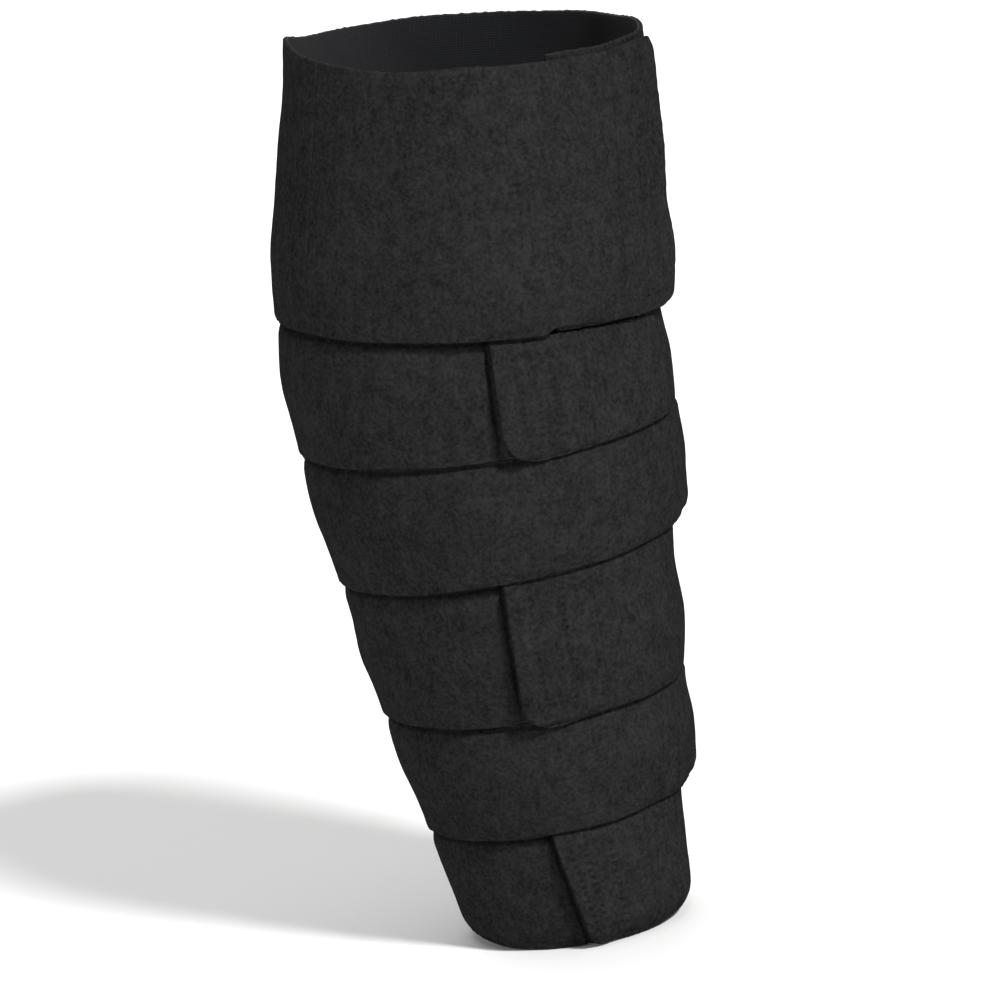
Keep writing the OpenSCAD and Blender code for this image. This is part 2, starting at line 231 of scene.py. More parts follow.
class Wrap:
    """Places on the wrap, worked out from its sizes."""

    def __init__(self, scene):
        self.size, self.look, self.pack = scene.wrap_sizes, scene.cloth_look, scene.pack_sizes
        size = self.size
        self.bands = len(size.band_show)
        self.show = np.array(size.band_show)
        self.edge_z = np.concatenate(([0.0], np.cumsum(self.show)))
        self.layer = size.fabric + size.layer_gap
        self.lift = self.layer + size.hook_tape + size.seam_gap

    def between_edges(self, values, station):
        """A cubic through the edges' values by height, with each edge's slope taken across its neighbours."""
        z, v = self.edge_z, np.array(values)
        slope = np.gradient(v, z)
        i = np.clip(np.floor(station).astype(int), 0, self.bands - 1)
        gap, t = z[i + 1] - z[i], station - i
        return (v[i] * (1 + 2 * t) * (1 - t) ** 2 + v[i + 1] * t * t * (3 - 2 * t)
                + gap * (slope[i] * t * (1 - t) ** 2 + slope[i + 1] * t * t * (t - 1)))

    def height_of(self, station):
        """Height up the leg: straight between two edges."""
        i = np.clip(np.floor(station).astype(int), 0, self.bands - 1)
        return self.edge_z[i] + (station - i) * self.show[i]

    def swell(self, angle, station):
        """The top band bulges with the sine of its height at the calf, and as a parabola at the shin.
        A lower band puffs out at the calf, most just below the edge above it, where it is back to nothing,
        and has a narrow valley there all round, shallower towards the shin. The second band
        dents in at the shin near its upper edge."""
        look = self.look
        at_calf, at_shin = 0.5, 1.4
        puff_whole, puff_ends = 0.8, 0.84
        near, flat, far = millimetres(0.7, 1.0, 2.8)
        half_front, all_front, less = 0.45, 0.75, 0.7
        dent_station, dent_length = 1.85, 13 * MM
        front = 0.5 + 0.5 * np.cos(angle)
        t = np.clip(station - self.bands + 1, 0, 1)
        top = at_calf * np.sin(np.pi * t) ** 2 * (1 - front) + at_shin * (1 - (2 * t - 1) ** 2) * front
        band = np.clip(np.floor(station).astype(int), 0, self.bands - 1)
        t = np.where(station < self.bands - 1, station - band, 0)
        puff = smooth(t / puff_whole) * (1 - smooth((t - puff_ends) / (1 - puff_ends)))
        below = (1 - t) * self.show[band]
        valley = smooth(below / near) * (1 - smooth((below - flat) / (far - flat))) * (t > 0)
        valley = valley * (1 - less * smooth((front - half_front) / (all_front - half_front)))
        from_dent = (station - dent_station) * self.show[1] / dent_length
        dent = look.dent * front ** 3 * np.exp(-from_dent ** 2)
        return look.bulge * top + look.puff * puff * (1 - front) - look.valley * valley - dent

    def skin(self, angle, station, height):
        """A circle about the leg's centre at that station, tilted by the lean: its radius is the leg side's,
        plus the height, the soft creases and the swell, less the roll of the lower rim."""
        crease_starts, roll_ends, longest = 12 * MM, 10 * MM, 120 * MM
        angle, station, height = np.broadcast_arrays(angle, np.asarray(station, float), height)
        up = self.height_of(station)
        look = self.look
        relief = look.crease * waves(4, angle, up, longest, look.crease_length) * smooth(up / crease_starts)
        roll = look.rim_roll * (1 - smooth(up / roll_ends)) ** 1.5
        relief = relief + self.swell(angle, station) - roll
        radius = self.between_edges(self.size.edge_radius, station) + height + relief
        lean = self.between_edges(self.size.edge_lean, station)
        x = self.between_edges(self.size.edge_shift, station) + radius * np.cos(angle) * np.cos(lean)
        return np.stack([x, radius * np.sin(angle), up - radius * np.cos(angle) * np.sin(lean)], axis=-1)

    def share(self, k, distance):
        """A distance up band k as a part of what the band shows."""
        return distance / self.show[k - 1]

    def way(self, k):
        """+1 where band k's arm runs counter-clockwise from its fold line, -1 where it runs clockwise."""
        return 1 if self.size.tab_angle[k - 1] > self.size.fold_angle[k - 1] else -1

    def mid_radius(self, k):
        """The radius by which lengths round band k are turned to angles."""
        radii = self.size.edge_radius
        return (radii[k - 1] + radii[k]) / 2 + self.layer + self.lift

    def reach(self, k):
        """Length of band k from its fold line to the end of its tab."""
        return abs(self.size.tab_angle[k - 1] - self.size.fold_angle[k - 1]) * self.mid_radius(k)

    def along(self, k, angle):
        """Distance round the leg from band k's fold line, the way its arm runs."""
        return self.way(k) * (angle - self.size.fold_angle[k - 1]) * self.mid_radius(k)

    def strip_level(self, k, station):
        """Band k's own height: a layer over the band tucked under it, then down to the leg side."""
        if k == 1:
            return np.zeros(np.shape(station))
        start = k - 1 + self.share(k, self.size.tuck)
        end = min(k, start + self.share(k, self.size.settle))
        return self.layer * (1 - smooth((station - start) / (end - start)))

    def arm_level(self, k, angle, station):
        """The strip's height plus a rise, from near the fold line up over the end of the layer beneath. The
        rise is less at the arm's two edges, and the end of the tab curls off, most at its lower edge."""
        size, look = self.size, self.look
        pinch_width, curl_length, upper_curl = 4.2 * MM, 14 * MM, 0.4
        turned = self.way(k) * (angle - size.fold_angle[k - 1])
        under = FULL_TURN - abs(size.fold_angle[k - 1] - size.under_angle[k - 1])
        start, margin = degrees(8, 6)
        over = smooth((turned - start) / (under - margin - start))
        low, high = self.arm_foot(k, angle), self.arm_top(k, angle)
        edge = np.minimum(station - low, high - station) * self.show[k - 1]
        pressed = look.pinch * (1 - smooth(edge / pinch_width))
        inward = self.reach(k) - self.along(k, angle)
        less = 1 - (1 - upper_curl) * (station - low) / (high - low)
        curl = look.tab_curl * (1 - smooth(inward / curl_length)) * less
        return self.strip_level(k, station) + (self.lift - pressed) * over + curl

    def wander(self, edge, angle):
        """How far edge number `edge` wanders up or down: long waves, and the short ones of the fray. The
        lower rim rises with the sixth power of the cosine of the angle, and the upper rim with the tenth at
        the calf."""
        look = self.look
        if edge == 0:
            return look.rim_lift * np.cos(angle) ** 6
        rise = look.calf_rise * np.clip(-np.cos(angle), 0, 1) ** 10 if edge == self.bands else 0
        return (rise + look.wander * waves(20 + edge, angle, 0.0, 0.18, 0.03)
                + look.fray * waves(40 + edge, angle, 0.0, 0.012, 0.0024, 24))

    def peek(self, k, angle, amount):
        """How much narrower the top band's arm is at an edge: all of the amount just before the end of the
        layer beneath it, and a fifth of it at the tab's end."""
        if k < self.bands:
            return np.zeros(np.shape(angle))
        before, length_of_step, lost = 0.09, 0.07, 0.8
        start = self.size.under_angle[k - 1] + FULL_TURN
        end = self.size.tab_angle[k - 1]
        step = smooth((angle - start + before) / length_of_step)
        return amount * step * (1 - lost * smooth((angle - start) / (end - start)))

    def strip_foot(self, k, angle):
        """Station of the lower edge of band k's fixed layer."""
        return k - 1 + self.share(k, self.wander(k - 1, angle))

    def strip_top(self, k, angle):
        """Station of its upper edge: tucked under the band above, or the upper rim."""
        size = self.size
        if k == self.bands:
            return k + self.share(k, size.rim_step + self.wander(k, angle))
        return k + self.share(k + 1, size.tuck - size.layer_gap) + 0 * angle

    def arm_foot(self, k, angle):
        """Station of the lower edge of band k's arm and tab: the fixed layer's, plus or less the arm's drop,
        plus the top band's peek, less the tab's dip."""
        settled, dip_starts, dip_length = 20 * MM, 1.2, 30 * MM
        drop = self.size.arm_drop if k == 1 else -self.size.arm_drop
        along = self.along(k, angle)
        past = along - self.reach(k) + dip_starts * self.size.tab_length
        dip = self.look.tab_dip[k - 1] * smooth(past / dip_length)
        return self.strip_foot(k, angle) + self.share(
            k, drop * smooth(along / settled) + self.peek(k, angle, self.look.peek) - dip)

    def arm_top(self, k, angle):
        """Station of its upper edge: just under the band above, or the upper rim without its step."""
        settled, gap_share = 30 * MM, 0.6
        if k == self.bands:
            step = self.size.rim_step * (1 - smooth(self.along(k, angle) / settled))
            return k + self.share(k, self.wander(k, angle) + step - self.peek(k, angle, self.look.rim_peek))
        return k + self.share(k, self.wander(k, angle) - gap_share * self.size.edge_gap)

    def slant(self, k, angle, station):
        """A tab's end is pulled short and leans: an angle that grows from its peel line to its end. The lean
        changes sign half way up."""
        size = self.size
        peel = self.reach(k) - size.tab_length
        lean = size.tab_shift[k - 1] + size.tab_slant[k - 1] * (0.5 - (station - k + 1))
        return lean * np.clip((self.along(k, angle) - peel) / size.tab_length, 0, 1)

    def beside_tab(self, k, angle, station):
        """How far the end of band k's tab presses the cloth just past it: a narrow valley along its end."""
        middle, width = millimetres(0.9, 1.1)
        end = np.array(self.size.tab_angle[k - 1])
        end = end + self.slant(k, end, station)
        past = self.way(k) * (angle + self.way(k) * FULL_TURN - end) * self.mid_radius(k)
        return self.look.tab_press * np.exp(-((past - middle) / width) ** 2)

    def arm_point(self, k, angle, station, height):
        """A point on band k's arm or tab, that far above its leg side."""
        return self.skin(angle + self.slant(k, angle, station), station,
                         self.arm_level(k, angle, station) + height)

    def on_tab(self, k, inward, up, height):
        """A point that far inward from the tab's end, up from its lower edge and above its leg side."""
        angle = self.size.tab_angle[k - 1] - self.way(k) * inward / self.mid_radius(k)
        station = self.arm_foot(k, angle) + up / self.show[k - 1]
        return self.arm_point(k, angle, station, height)

    def tab_width(self, k):
        """Width of the tab near its end."""
        angle = np.array(self.size.tab_angle[k - 1])
        return float((self.arm_top(k, angle) - self.arm_foot(k, angle)) * self.show[k - 1])

    def lane(self, angle, up, height):
        """The cold pack's own surface: one circle carried in a straight line up the top band, so that the
        pack slides out along it."""
        size, last = self.size, self.bands
        radius = min(size.edge_radius[last - 1], size.edge_radius[last]) + height
        lean = (size.edge_lean[last - 1] + size.edge_lean[last]) / 2
        slope = (size.edge_shift[last] - size.edge_shift[last - 1]) / size.band_show[last - 1]
        x = size.edge_shift[last - 1] + slope * up + radius * np.cos(angle) * np.cos(lean)
        z = self.edge_z[last - 1] + up - radius * np.cos(angle) * np.sin(lean)
        return np.stack(np.broadcast_arrays(x, radius * np.sin(angle), z), axis=-1)


# Meshes

def make_piece(name, points, faces, materials, material_index=None, uv=None, flat=None):
    """An object at the origin from points and faces, smooth-shaded but for its flat faces. A surface that
    encloses a negative volume is turned the right way out."""
    points = np.asarray(points, float).reshape(-1, 3)
    groups = [np.asarray(f, int) for f in faces]
    volume = 0.0
    for quad in groups:
        for j in range(1, quad.shape[1] - 1):
            a, b, c = points[quad[:, 0]], points[quad[:, j]], points[quad[:, j + 1]]
            volume += np.einsum("ij,ij->", a, np.cross(b, c))
    if volume < 0:
        groups = [g[:, ::-1] for g in groups]
    mesh = bpy.data.meshes.new(name)
    loops = np.concatenate([g.ravel() for g in groups])
    totals = np.concatenate([np.full(len(g), g.shape[1]) for g in groups])
    mesh.vertices.add(len(points))
    mesh.vertices.foreach_set("co", points.astype(np.float32).ravel())
    mesh.loops.add(len(loops))
    mesh.loops.foreach_set("vertex_index", loops.astype(np.int32))
    mesh.polygons.add(len(totals))
    mesh.polygons.foreach_set("loop_start", np.concatenate(([0], np.cumsum(totals)[:-1])).astype(np.int32))
    mesh.polygons.foreach_set("use_smooth", np.ones(len(totals), bool) if flat is None else ~flat)
    for material in materials:
        mesh.materials.append(material)
    if material_index is not None:
        mesh.polygons.foreach_set("material_index", np.asarray(material_index, np.int32))
    if uv is not None:
        layer = mesh.uv_layers.new(name="UVMap")
        layer.data.foreach_set("uv", np.asarray(uv, np.float32).reshape(-1, 2)[loops].ravel())
    mesh.update()
    if mesh.validate():
        raise RuntimeError(f"{name}: its mesh held faces that are not valid")
    piece = bpy.data.objects.new(name, mesh)
    bpy.context.scene.collection.objects.link(piece)
    return piece


def grid_faces(columns, rows):
    """Quads of a grid of points stored column by column."""
    i, j = np.meshgrid(np.arange(columns - 1), np.arange(rows - 1), indexing="ij")
    first = (i * rows + j).ravel()
    return np.stack([first, first + rows, first + rows + 1, first + 1], axis=1)


def outline(columns, rows):
    """The grid's outer points in order round it."""
    bottom = np.arange(columns) * rows
    right = (columns - 1) * rows + np.arange(1, rows)
    top = np.arange(columns - 2, -1, -1) * rows + rows - 1
    left = np.arange(rows - 2, 0, -1)
    return np.concatenate([bottom, right, top, left])


def closed_faces(columns, rows):
    """Faces of a closed sheet, whose outer grid of points comes first: outer, inner and wall."""
    face = grid_faces(columns, rows)
    far = columns * rows
    ring = outline(columns, rows)
    after = np.roll(ring, -1)
    return face, face[:, ::-1] + far, np.stack([ring, ring + far, after + far, after], axis=1)


def sheet_piece(name, outer, inner, uv, materials, seams=(False, False)):
    """A closed sheet: a grid of outer points, the same grid of inner points, and a wall round them. The wall
    is flat-shaded at a seam, which may be its first or last column, so that the cloth shades on across it."""
    columns, rows = outer.shape[:2]
    faces = closed_faces(columns, rows)
    points = np.concatenate([outer.reshape(-1, 3), inner.reshape(-1, 3)])
    index = np.repeat([LOOP, LINING, CUT], [len(f) for f in faces])
    flat = np.zeros(len(index), bool)
    flat[len(flat) - rows + 1:] = seams[0]
    last = 2 * len(faces[0]) + columns - 1
    flat[last:last + rows - 1] = seams[1]
    return make_piece(name, points, [np.concatenate(faces)], materials,
                      np.minimum(index, len(materials) - 1), np.concatenate([uv.reshape(-1, 2)] * 2), flat)


def graded(start, end, step, rounding, round_start=True, round_end=True):
    """Distances from start to end, about a step apart, and closer where the edge is rounded."""
    near = rounding * ROUNDED
    low = start + near if round_start else np.array([start])
    high = end - near[::-1] if round_end else np.array([end])
    count = max(2, int(np.ceil((high[0] - low[-1]) / step)) + 1)
    return np.concatenate([low[:-1], np.linspace(low[-1], high[0], count), high[1:]])


def rounded_edge(distance, rounding):
    """How far a face falls near a cut edge: a quarter circle of that radius."""
    short = np.clip(rounding - distance, 0, rounding)
    return rounding - np.sqrt(rounding ** 2 - short ** 2)


def flat_patch(start, end, low, high, steps, rounding):
    """Flat places between two sides and two heights: across and up, the distance to the nearest edge, and
    how far a face falls there."""
    x, y = np.meshgrid(graded(start, end, steps[0], rounding), graded(low, high, steps[1], rounding),
                       indexing="ij")
    edge = np.minimum(np.minimum(x - start, end - x), np.minimum(y - low, high - y))
    return x, y, edge, rounded_edge(edge, rounding)


def evenly(start, end, step):
    """Heights between each column's start and end, about a step apart, without the two themselves."""
    count = max(2, int(np.ceil(np.max(end - start) / step)) + 1)
    return start[:, None] + (end - start)[:, None] * np.linspace(0, 1, count)[None, 1:-1]


def rise_rows(width, step, rounding, line=None):
    """Heights up the cloth at each column, from its lower to its upper edge, closer at the rounded edges and
    in the groove below the line, which is where the band above ends. Columns are as wide as `width` says, and
    hold equally many rows."""
    near = rounding * ROUNDED
    low = np.broadcast_to(near, (len(width), len(near)))
    start, end = 0 * width + rounding, width - rounding
    if line is None:
        middle = [evenly(start, end, step)]
    else:
        tucked = np.min(width - line) > 2 * rounding
        below = millimetres(3.4, 2.8, 2.35, 1.95, 1.6, 1.3)
        if tucked:
            below += millimetres(1.0, 0.7, 0.4, 0.1)
        groove = line[:, None] - np.array(below)
        middle = [evenly(start, groove[:, 0], step), groove]
        if tucked:
            middle.append(evenly(line, end, step))
    return np.concatenate([low, *middle, width[:, None] - low[:, ::-1]], axis=1)


def flat_uv(wrap, k, angle, station):
    """Metres round band k and up the leg."""
    return np.stack([angle * wrap.mid_radius(k), wrap.height_of(station)], axis=-1)


def seam_line(rows, across, up):
    """Distance from each point to the nearest of the straight stitch rows, and how far along it lies."""
    best = np.full(np.shape(across), 1.0)
    along = np.zeros(np.shape(across))
    for (x0, y0), (x1, y1) in rows:
        reach = np.hypot(x1 - x0, y1 - y0)
        dx, dy = (x1 - x0) / reach, (y1 - y0) / reach
        t = np.clip((across - x0) * dx + (up - y0) * dy, 0, reach)
        d = np.hypot(across - x0 - t * dx, up - y0 - t * dy)
        near = d < best
        best, along = np.where(near, d, best), np.where(near, t, along)
    return best, along


def dimples(look, rows, across, up):
    """How far stitching pulls the cloth in: a valley along each row, deeper at each needle hole."""
    width = 0.9 * MM
    distance, along = seam_line(rows, across, up)
    valley = np.exp(-(distance / width) ** 2)
    holes = 0.5 + 0.5 * np.cos(FULL_TURN * along / look.stitch)
    return look.dimple * valley * holes


def tube_faces(count, rings, sides):
    """Quads round `count` tubes, whose points are stored ring by ring, and a polygon on each of their ends."""
    i, j, m = np.meshgrid(np.arange(count), np.arange(rings - 1), np.arange(sides), indexing="ij")
    a = ((i * rings + j) * sides + m).ravel()
    b = ((i * rings + j) * sides + (m + 1) % sides).ravel()
    start = (np.arange(count) * rings * sides)[:, None] + np.arange(sides)[None, :]
    ends = np.concatenate([start[:, ::-1], start + (rings - 1) * sides])
    return [np.stack([a, b, b + sides, a + sides], axis=1), ends]


def stitches(name, rows, place, look, material, body):
    """Threads along straight rows: each stitch is a six-sided tube of five rings that arches up between its
    two needle holes. place(across, up, height) puts it on its surface."""
    rings, sides = 5, 6
    half_length, thinning, arch, sunk = 0.42, 0.8, 0.75, 0.35
    across, up, dx, dy = [], [], [], []
    for (x0, y0), (x1, y1) in rows:
        reach = np.hypot(x1 - x0, y1 - y0)
        count = max(1, int(round(reach / look.stitch)))
        t = (np.arange(count) + 0.5) / count
        across.append(x0 + (x1 - x0) * t)
        up.append(y0 + (y1 - y0) * t)
        dx.append(np.full(count, (x1 - x0) / reach))
        dy.append(np.full(count, (y1 - y0) / reach))
    across, up, dx, dy = (np.concatenate(v)[:, None, None] for v in (across, up, dx, dy))
    t = np.linspace(-1, 1, rings)[None, :, None]
    turn_round = (np.arange(sides) * FULL_TURN / sides)[None, None, :]
    taper = np.sqrt(1 - thinning * t ** 2)
    run = t * look.stitch * half_length
    aside = look.thread / 2 * taper * np.cos(turn_round)
    lift = look.thread / 2 * taper * np.sin(turn_round) + look.thread * (arch * (1 - t ** 2) - sunk)
    points = place(across + dx * run - dy * aside, up + dy * run + dx * aside, lift + 0 * across)
    piece = make_piece(name, points, tube_faces(len(points), rings, sides), [material])
    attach(piece, body)
    return piece


# Materials

def node(tree, kind, inputs=(), **settings):
    """Adds a node, sets its settings, and fills its inputs: a socket is linked, anything else is a value."""
    made = tree.nodes.new(kind)
    for key, value in settings.items():
        setattr(made, key, value)
    for key, value in dict(inputs).items():
        if isinstance(value, bpy.types.NodeSocket):
            tree.links.new(value, made.inputs[key])
        else:
            made.inputs[key].default_value = value
    return made


def reckon(tree, operation, a, b=0.0, c=0.0):
    """The result of one sum on sockets or numbers."""
    return node(tree, "ShaderNodeMath", {0: a, 1: b, 2: c}, operation=operation).outputs[0]


def object_place(tree):
    """Places in the object's own coordinates."""
    return node(tree, "ShaderNodeTexCoord").outputs["Object"]


def uv_parts(tree):
    """The two parts of a place on the piece's own flat map."""
    uv = node(tree, "ShaderNodeTexCoord").outputs["UV"]
    return node(tree, "ShaderNodeSeparateXYZ", {0: uv}).outputs


def blend_colours(tree, share, a, b):
    """The first colour where the share is 0, the second where it is 1."""
    mix = node(tree, "ShaderNodeMix", {0: share, 6: a, 7: b}, data_type="RGBA")
    return mix.outputs[2]


def noise(tree, place, per_metre, detail=3.0, rough=0.55):
    """Cloudy values of about 0 to 1, that many clouds to a metre."""
    made = node(tree, "ShaderNodeTexNoise",
                {"Vector": place, "Scale": per_metre, "Detail": detail, "Roughness": rough})
    return made.outputs["Fac"]


def spread_out(tree, value, low, high):
    """The value with low and high stretched to 0 and 1."""
    made = node(tree, "ShaderNodeMapRange", {0: value, 1: low, 2: high, 3: 0.0, 4: 1.0})
    return made.outputs[0]


def start_material(name, **values):
    """A material with one surface shader, whose sockets take these values."""
    material = bpy.data.materials.new(name)
    material.use_nodes = True
    tree = material.node_tree
    shader = next(n for n in tree.nodes if n.type == "BSDF_PRINCIPLED")
    for key, value in values.items():
        shader.inputs[key].default_value = value
    return material, tree, shader


def bump(tree, shader, height, distance, strength=1.0):
    """Makes the shader's surface stand up by the height, times a distance in metres."""
    made = node(tree, "ShaderNodeBump", {"Height": height, "Strength": strength, "Distance": distance})
    tree.links.new(made.outputs["Normal"], shader.inputs["Normal"])


def rgba(value, factor=1.0):
    """A colour, darkened or lightened by a factor, with full cover."""
    return (*(min(1.0, factor * c) for c in value), 1.0)


def paint(tree, shader, share, dark, light):
    """Colours the shader from dark to light by the share."""
    tree.links.new(blend_colours(tree, share, dark, light), shader.inputs["Base Color"])


def loop_pile(colours):
    """Brushed loop cloth: matt, mottled where the loops stand up or lie flat, with a few specks of lint."""
    material, tree, shader = start_material(
        "loop_pile", **{"Roughness": 1.0, "Specular IOR Level": 0.0})
    place = object_place(tree)
    tufts = spread_out(tree, noise(tree, place, 760.0, 4.0, 0.68), 0.34, 0.68)
    patches = spread_out(tree, noise(tree, place, 190.0, 2.0), 0.34, 0.66)
    shades = spread_out(tree, noise(tree, place, 28.0, 2.0), 0.3, 0.7)
    brushed = node(tree, "ShaderNodeMapping", {"Vector": place, "Scale": (1.0, 1.0, 0.22)}).outputs[0]
    strokes = spread_out(tree, noise(tree, brushed, 420.0, 3.0, 0.6), 0.3, 0.7)
    share = reckon(tree, "MULTIPLY_ADD", tufts, 0.5, reckon(tree, "MULTIPLY", patches, 0.18))
    share = reckon(tree, "ADD", share, reckon(tree, "MULTIPLY", strokes, 0.18))
    share = reckon(tree, "ADD", share, reckon(tree, "MULTIPLY", shades, 0.12))
    pile = blend_colours(tree, share, rgba(colours.pile_dark), rgba(colours.pile_light))
    cells = node(tree, "ShaderNodeTexVoronoi", {"Vector": place, "Scale": 95.0})
    near = reckon(tree, "LESS_THAN", cells.outputs["Distance"], 0.045)
    chosen = reckon(tree, "GREATER_THAN", node(
        tree, "ShaderNodeSeparateColor", {0: cells.outputs["Color"]}).outputs[0], 0.972)
    speck = reckon(tree, "MULTIPLY", near, chosen)
    paint(tree, shader, speck, pile, rgba(colours.lint))
    loops = node(tree, "ShaderNodeTexVoronoi", {"Vector": place, "Scale": 1150.0, "Randomness": 1.0})
    height = reckon(tree, "MULTIPLY_ADD", loops.outputs["Distance"], -0.5, tufts)
    height = reckon(tree, "ADD", height, reckon(tree, "MULTIPLY", strokes, 0.4))
    bump(tree, shader, height, 0.00022, 0.8)
    return material


def cut_laminate(colours):
    """The cut edge of the cloth: a foam core between two faces, with fibres that stick out. Its colour is
    partly the core's own and partly painted shade, kept very dark to deepen the gap beside each tab's end.
    """
    material, tree, shader = start_material("cut_laminate", **{"Roughness": 1.0, "Specular IOR Level": 0.1})
    place = object_place(tree)
    pores = spread_out(tree, noise(tree, place, 1500.0, 3.0, 0.7), 0.3, 0.7)
    paint(tree, shader, pores, rgba(colours.cut_edge_with_painted_shade, 0.45), rgba(colours.cut_edge_with_painted_shade))
    bump(tree, shader, pores, 0.00025)
    return material


def knit(name, base, wale):
    """Jersey knit: columns of V-shaped loops, a wale apart round the leg and a little less up it."""
    material, tree, shader = start_material(
        name, **{"Roughness": 0.92, "Specular IOR Level": 0.15, "Sheen Weight": 0.04})
    around, up = uv_parts(tree)[:2]
    column = reckon(tree, "PINGPONG", around, wale / 2)
    side = reckon(tree, "MULTIPLY", column, 2 / wale)
    rib = reckon(tree, "SINE", reckon(tree, "MULTIPLY", side, HALF_TURN))
    course = reckon(tree, "MULTIPLY_ADD", column, -0.9, up)
    loop = reckon(tree, "SINE", reckon(tree, "MULTIPLY", course, FULL_TURN / (wale * 0.8)))
    height = reckon(tree, "MULTIPLY_ADD", loop, 0.35, rib)
    place = object_place(tree)
    fuzz = noise(tree, place, 900.0, 3.0)
    # Colour is partly random fuzz and partly painted shade: darker in the hollows between the ribs and loops,
    # by the same height that bumps them.
    tone_and_painted_shade = spread_out(tree, reckon(tree, "MULTIPLY_ADD", fuzz, 0.9, height), 0.0, 1.8)
    paint(tree, shader, tone_and_painted_shade, rgba(base, 0.35), rgba(base))
    bump(tree, shader, reckon(tree, "MULTIPLY_ADD", fuzz, 0.4, height), wale * 0.16)
    return material


def webbing(colours):
    """Woven tape: ribs across it, each crossed by a finer weave."""
    material, tree, shader = start_material("webbing", **{"Roughness": 0.7, "Specular IOR Level": 0.3})
    across, along = uv_parts(tree)[:2]
    rib_step, yarn_step = millimetres(1.1, 0.7)
    rib = reckon(tree, "SINE", reckon(tree, "MULTIPLY", along, FULL_TURN / rib_step))
    odd = reckon(tree, "MULTIPLY", reckon(tree, "SIGN", rib), HALF_TURN / 2)
    yarn = reckon(tree, "SINE", reckon(tree, "MULTIPLY_ADD", across, FULL_TURN / yarn_step, odd))
    height = reckon(tree, "MULTIPLY_ADD", yarn, 0.45, reckon(tree, "ABSOLUTE", rib))
    place = object_place(tree)
    wear = noise(tree, place, 300.0)
    # Colour is partly random wear and partly painted shade: darker in the hollows of the weave and lighter on
    # its rib crests, by the same height that bumps them.
    tone_and_painted_shade = spread_out(tree, reckon(tree, "MULTIPLY_ADD", wear, 0.8, height), 0.0, 1.9)
    paint(tree, shader, tone_and_painted_shade, rgba(colours.tape, 0.5), rgba(colours.tape, 1.9))
    bump(tree, shader, height, 0.00016)
    return material


def plastic_hooks(colours):
    """Moulded nylon hooks and their base."""
    material, tree, shader = start_material(
        "plastic_hooks", **{"Roughness": 0.42, "Specular IOR Level": 0.45})
    place = object_place(tree)
    streak = noise(tree, place, 700.0)
    paint(tree, shader, streak, rgba(colours.hooks, 0.6), rgba(colours.hooks, 1.5))
    bump(tree, shader, streak, 0.00006)
    return material


def sewing_thread(colours):
    """Twisted polyester thread."""
    material, tree, shader = start_material("sewing_thread", **{"Roughness": 0.6, "Specular IOR Level": 0.2})
    place = object_place(tree)
    twist_with_painted_shade = node(tree, "ShaderNodeTexWave", {"Vector": place, "Scale": 900.0, "Distortion": 1.5},
                 bands_direction="DIAGONAL").outputs["Fac"]
    # The twist's bands are painted shade and highlight: darker in the grooves between the plies and lighter on
    # their ridges, by the same pattern that bumps them.
    paint(tree, shader, twist_with_painted_shade, rgba(colours.thread, 0.5), rgba(colours.thread, 1.7))
    bump(tree, shader, twist_with_painted_shade, 0.00005)
    return material


def pack_film(colours):
    """Clear blue film with fine wrinkles, and a fine grid pressed into it."""
    material, tree, shader = start_material(
        "pack_film", **{"Base Color": rgba(colours.film), "Roughness": 0.16, "IOR": 1.49,
                        "Transmission Weight": 0.82, "Coat Weight": 0.3, "Coat Roughness": 0.1})
    place = object_place(tree)
    wrinkle = noise(tree, place, 110.0, 4.0)
    grain = noise(tree, place, 900.0, 2.0)
    bump(tree, shader, reckon(tree, "MULTIPLY_ADD", grain, 0.12, wrinkle), 0.0005, 0.6)
    cloud = spread_out(tree, noise(tree, place, 60.0), 0.35, 0.7)
    tree.links.new(reckon(tree, "MULTIPLY_ADD", cloud, 0.14, 0.12), shader.inputs["Roughness"])
    return material


def cold_gel(colours):
    """Soft translucent gel with a few bubbles."""
    material, tree, shader = start_material(
        "cold_gel", **{"Roughness": 0.22, "Subsurface Weight": 0.35, "Subsurface Scale": 0.006,
                       "Subsurface Radius": (0.3, 0.6, 1.0), "IOR": 1.36})
    place = object_place(tree)
    bubble = node(tree, "ShaderNodeTexVoronoi", {"Vector": place, "Scale": 260.0})
    clear = reckon(tree, "LESS_THAN", bubble.outputs["Distance"], 0.16)
    cloud = spread_out(tree, noise(tree, place, 70.0), 0.3, 0.7)
    body = blend_colours(tree, cloud, rgba(colours.gel, 0.7), rgba(colours.gel))
    paint(tree, shader, clear, body, rgba(colours.gel, 1.6))
    bump(tree, shader, reckon(tree, "MULTIPLY", clear, -1.0), 0.0002, 0.5)
    return material


MATERIALS = {}


def materials():
    """The wrap's materials, made once."""
    if not MATERIALS:
        colours = bpy.context.scene.wrap_colours
        MATERIALS.update(
            pile=loop_pile(colours), cut=cut_laminate(colours),
            lining=knit("lining_knit", colours.lining, 1.1 * MM),
            panel=knit("pocket_knit", colours.knit, 1.4 * MM),
            tape=webbing(colours), hooks=plastic_hooks(colours), thread=sewing_thread(colours),
            film=pack_film(colours), gel=cold_gel(colours))
    return MATERIALS


# Pieces

def cloth_materials():
    """Outer face, leg side and cut edges of the cloth, in the order of LOOP, LINING and CUT."""
    made = materials()
    return [made["pile"], made["lining"], made["cut"]]


def settle_piece(piece, body, stands_for):
    """Puts a piece on its body, and puts it in the place of a part of the frame."""
    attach(piece, body)
    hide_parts(stands_for)


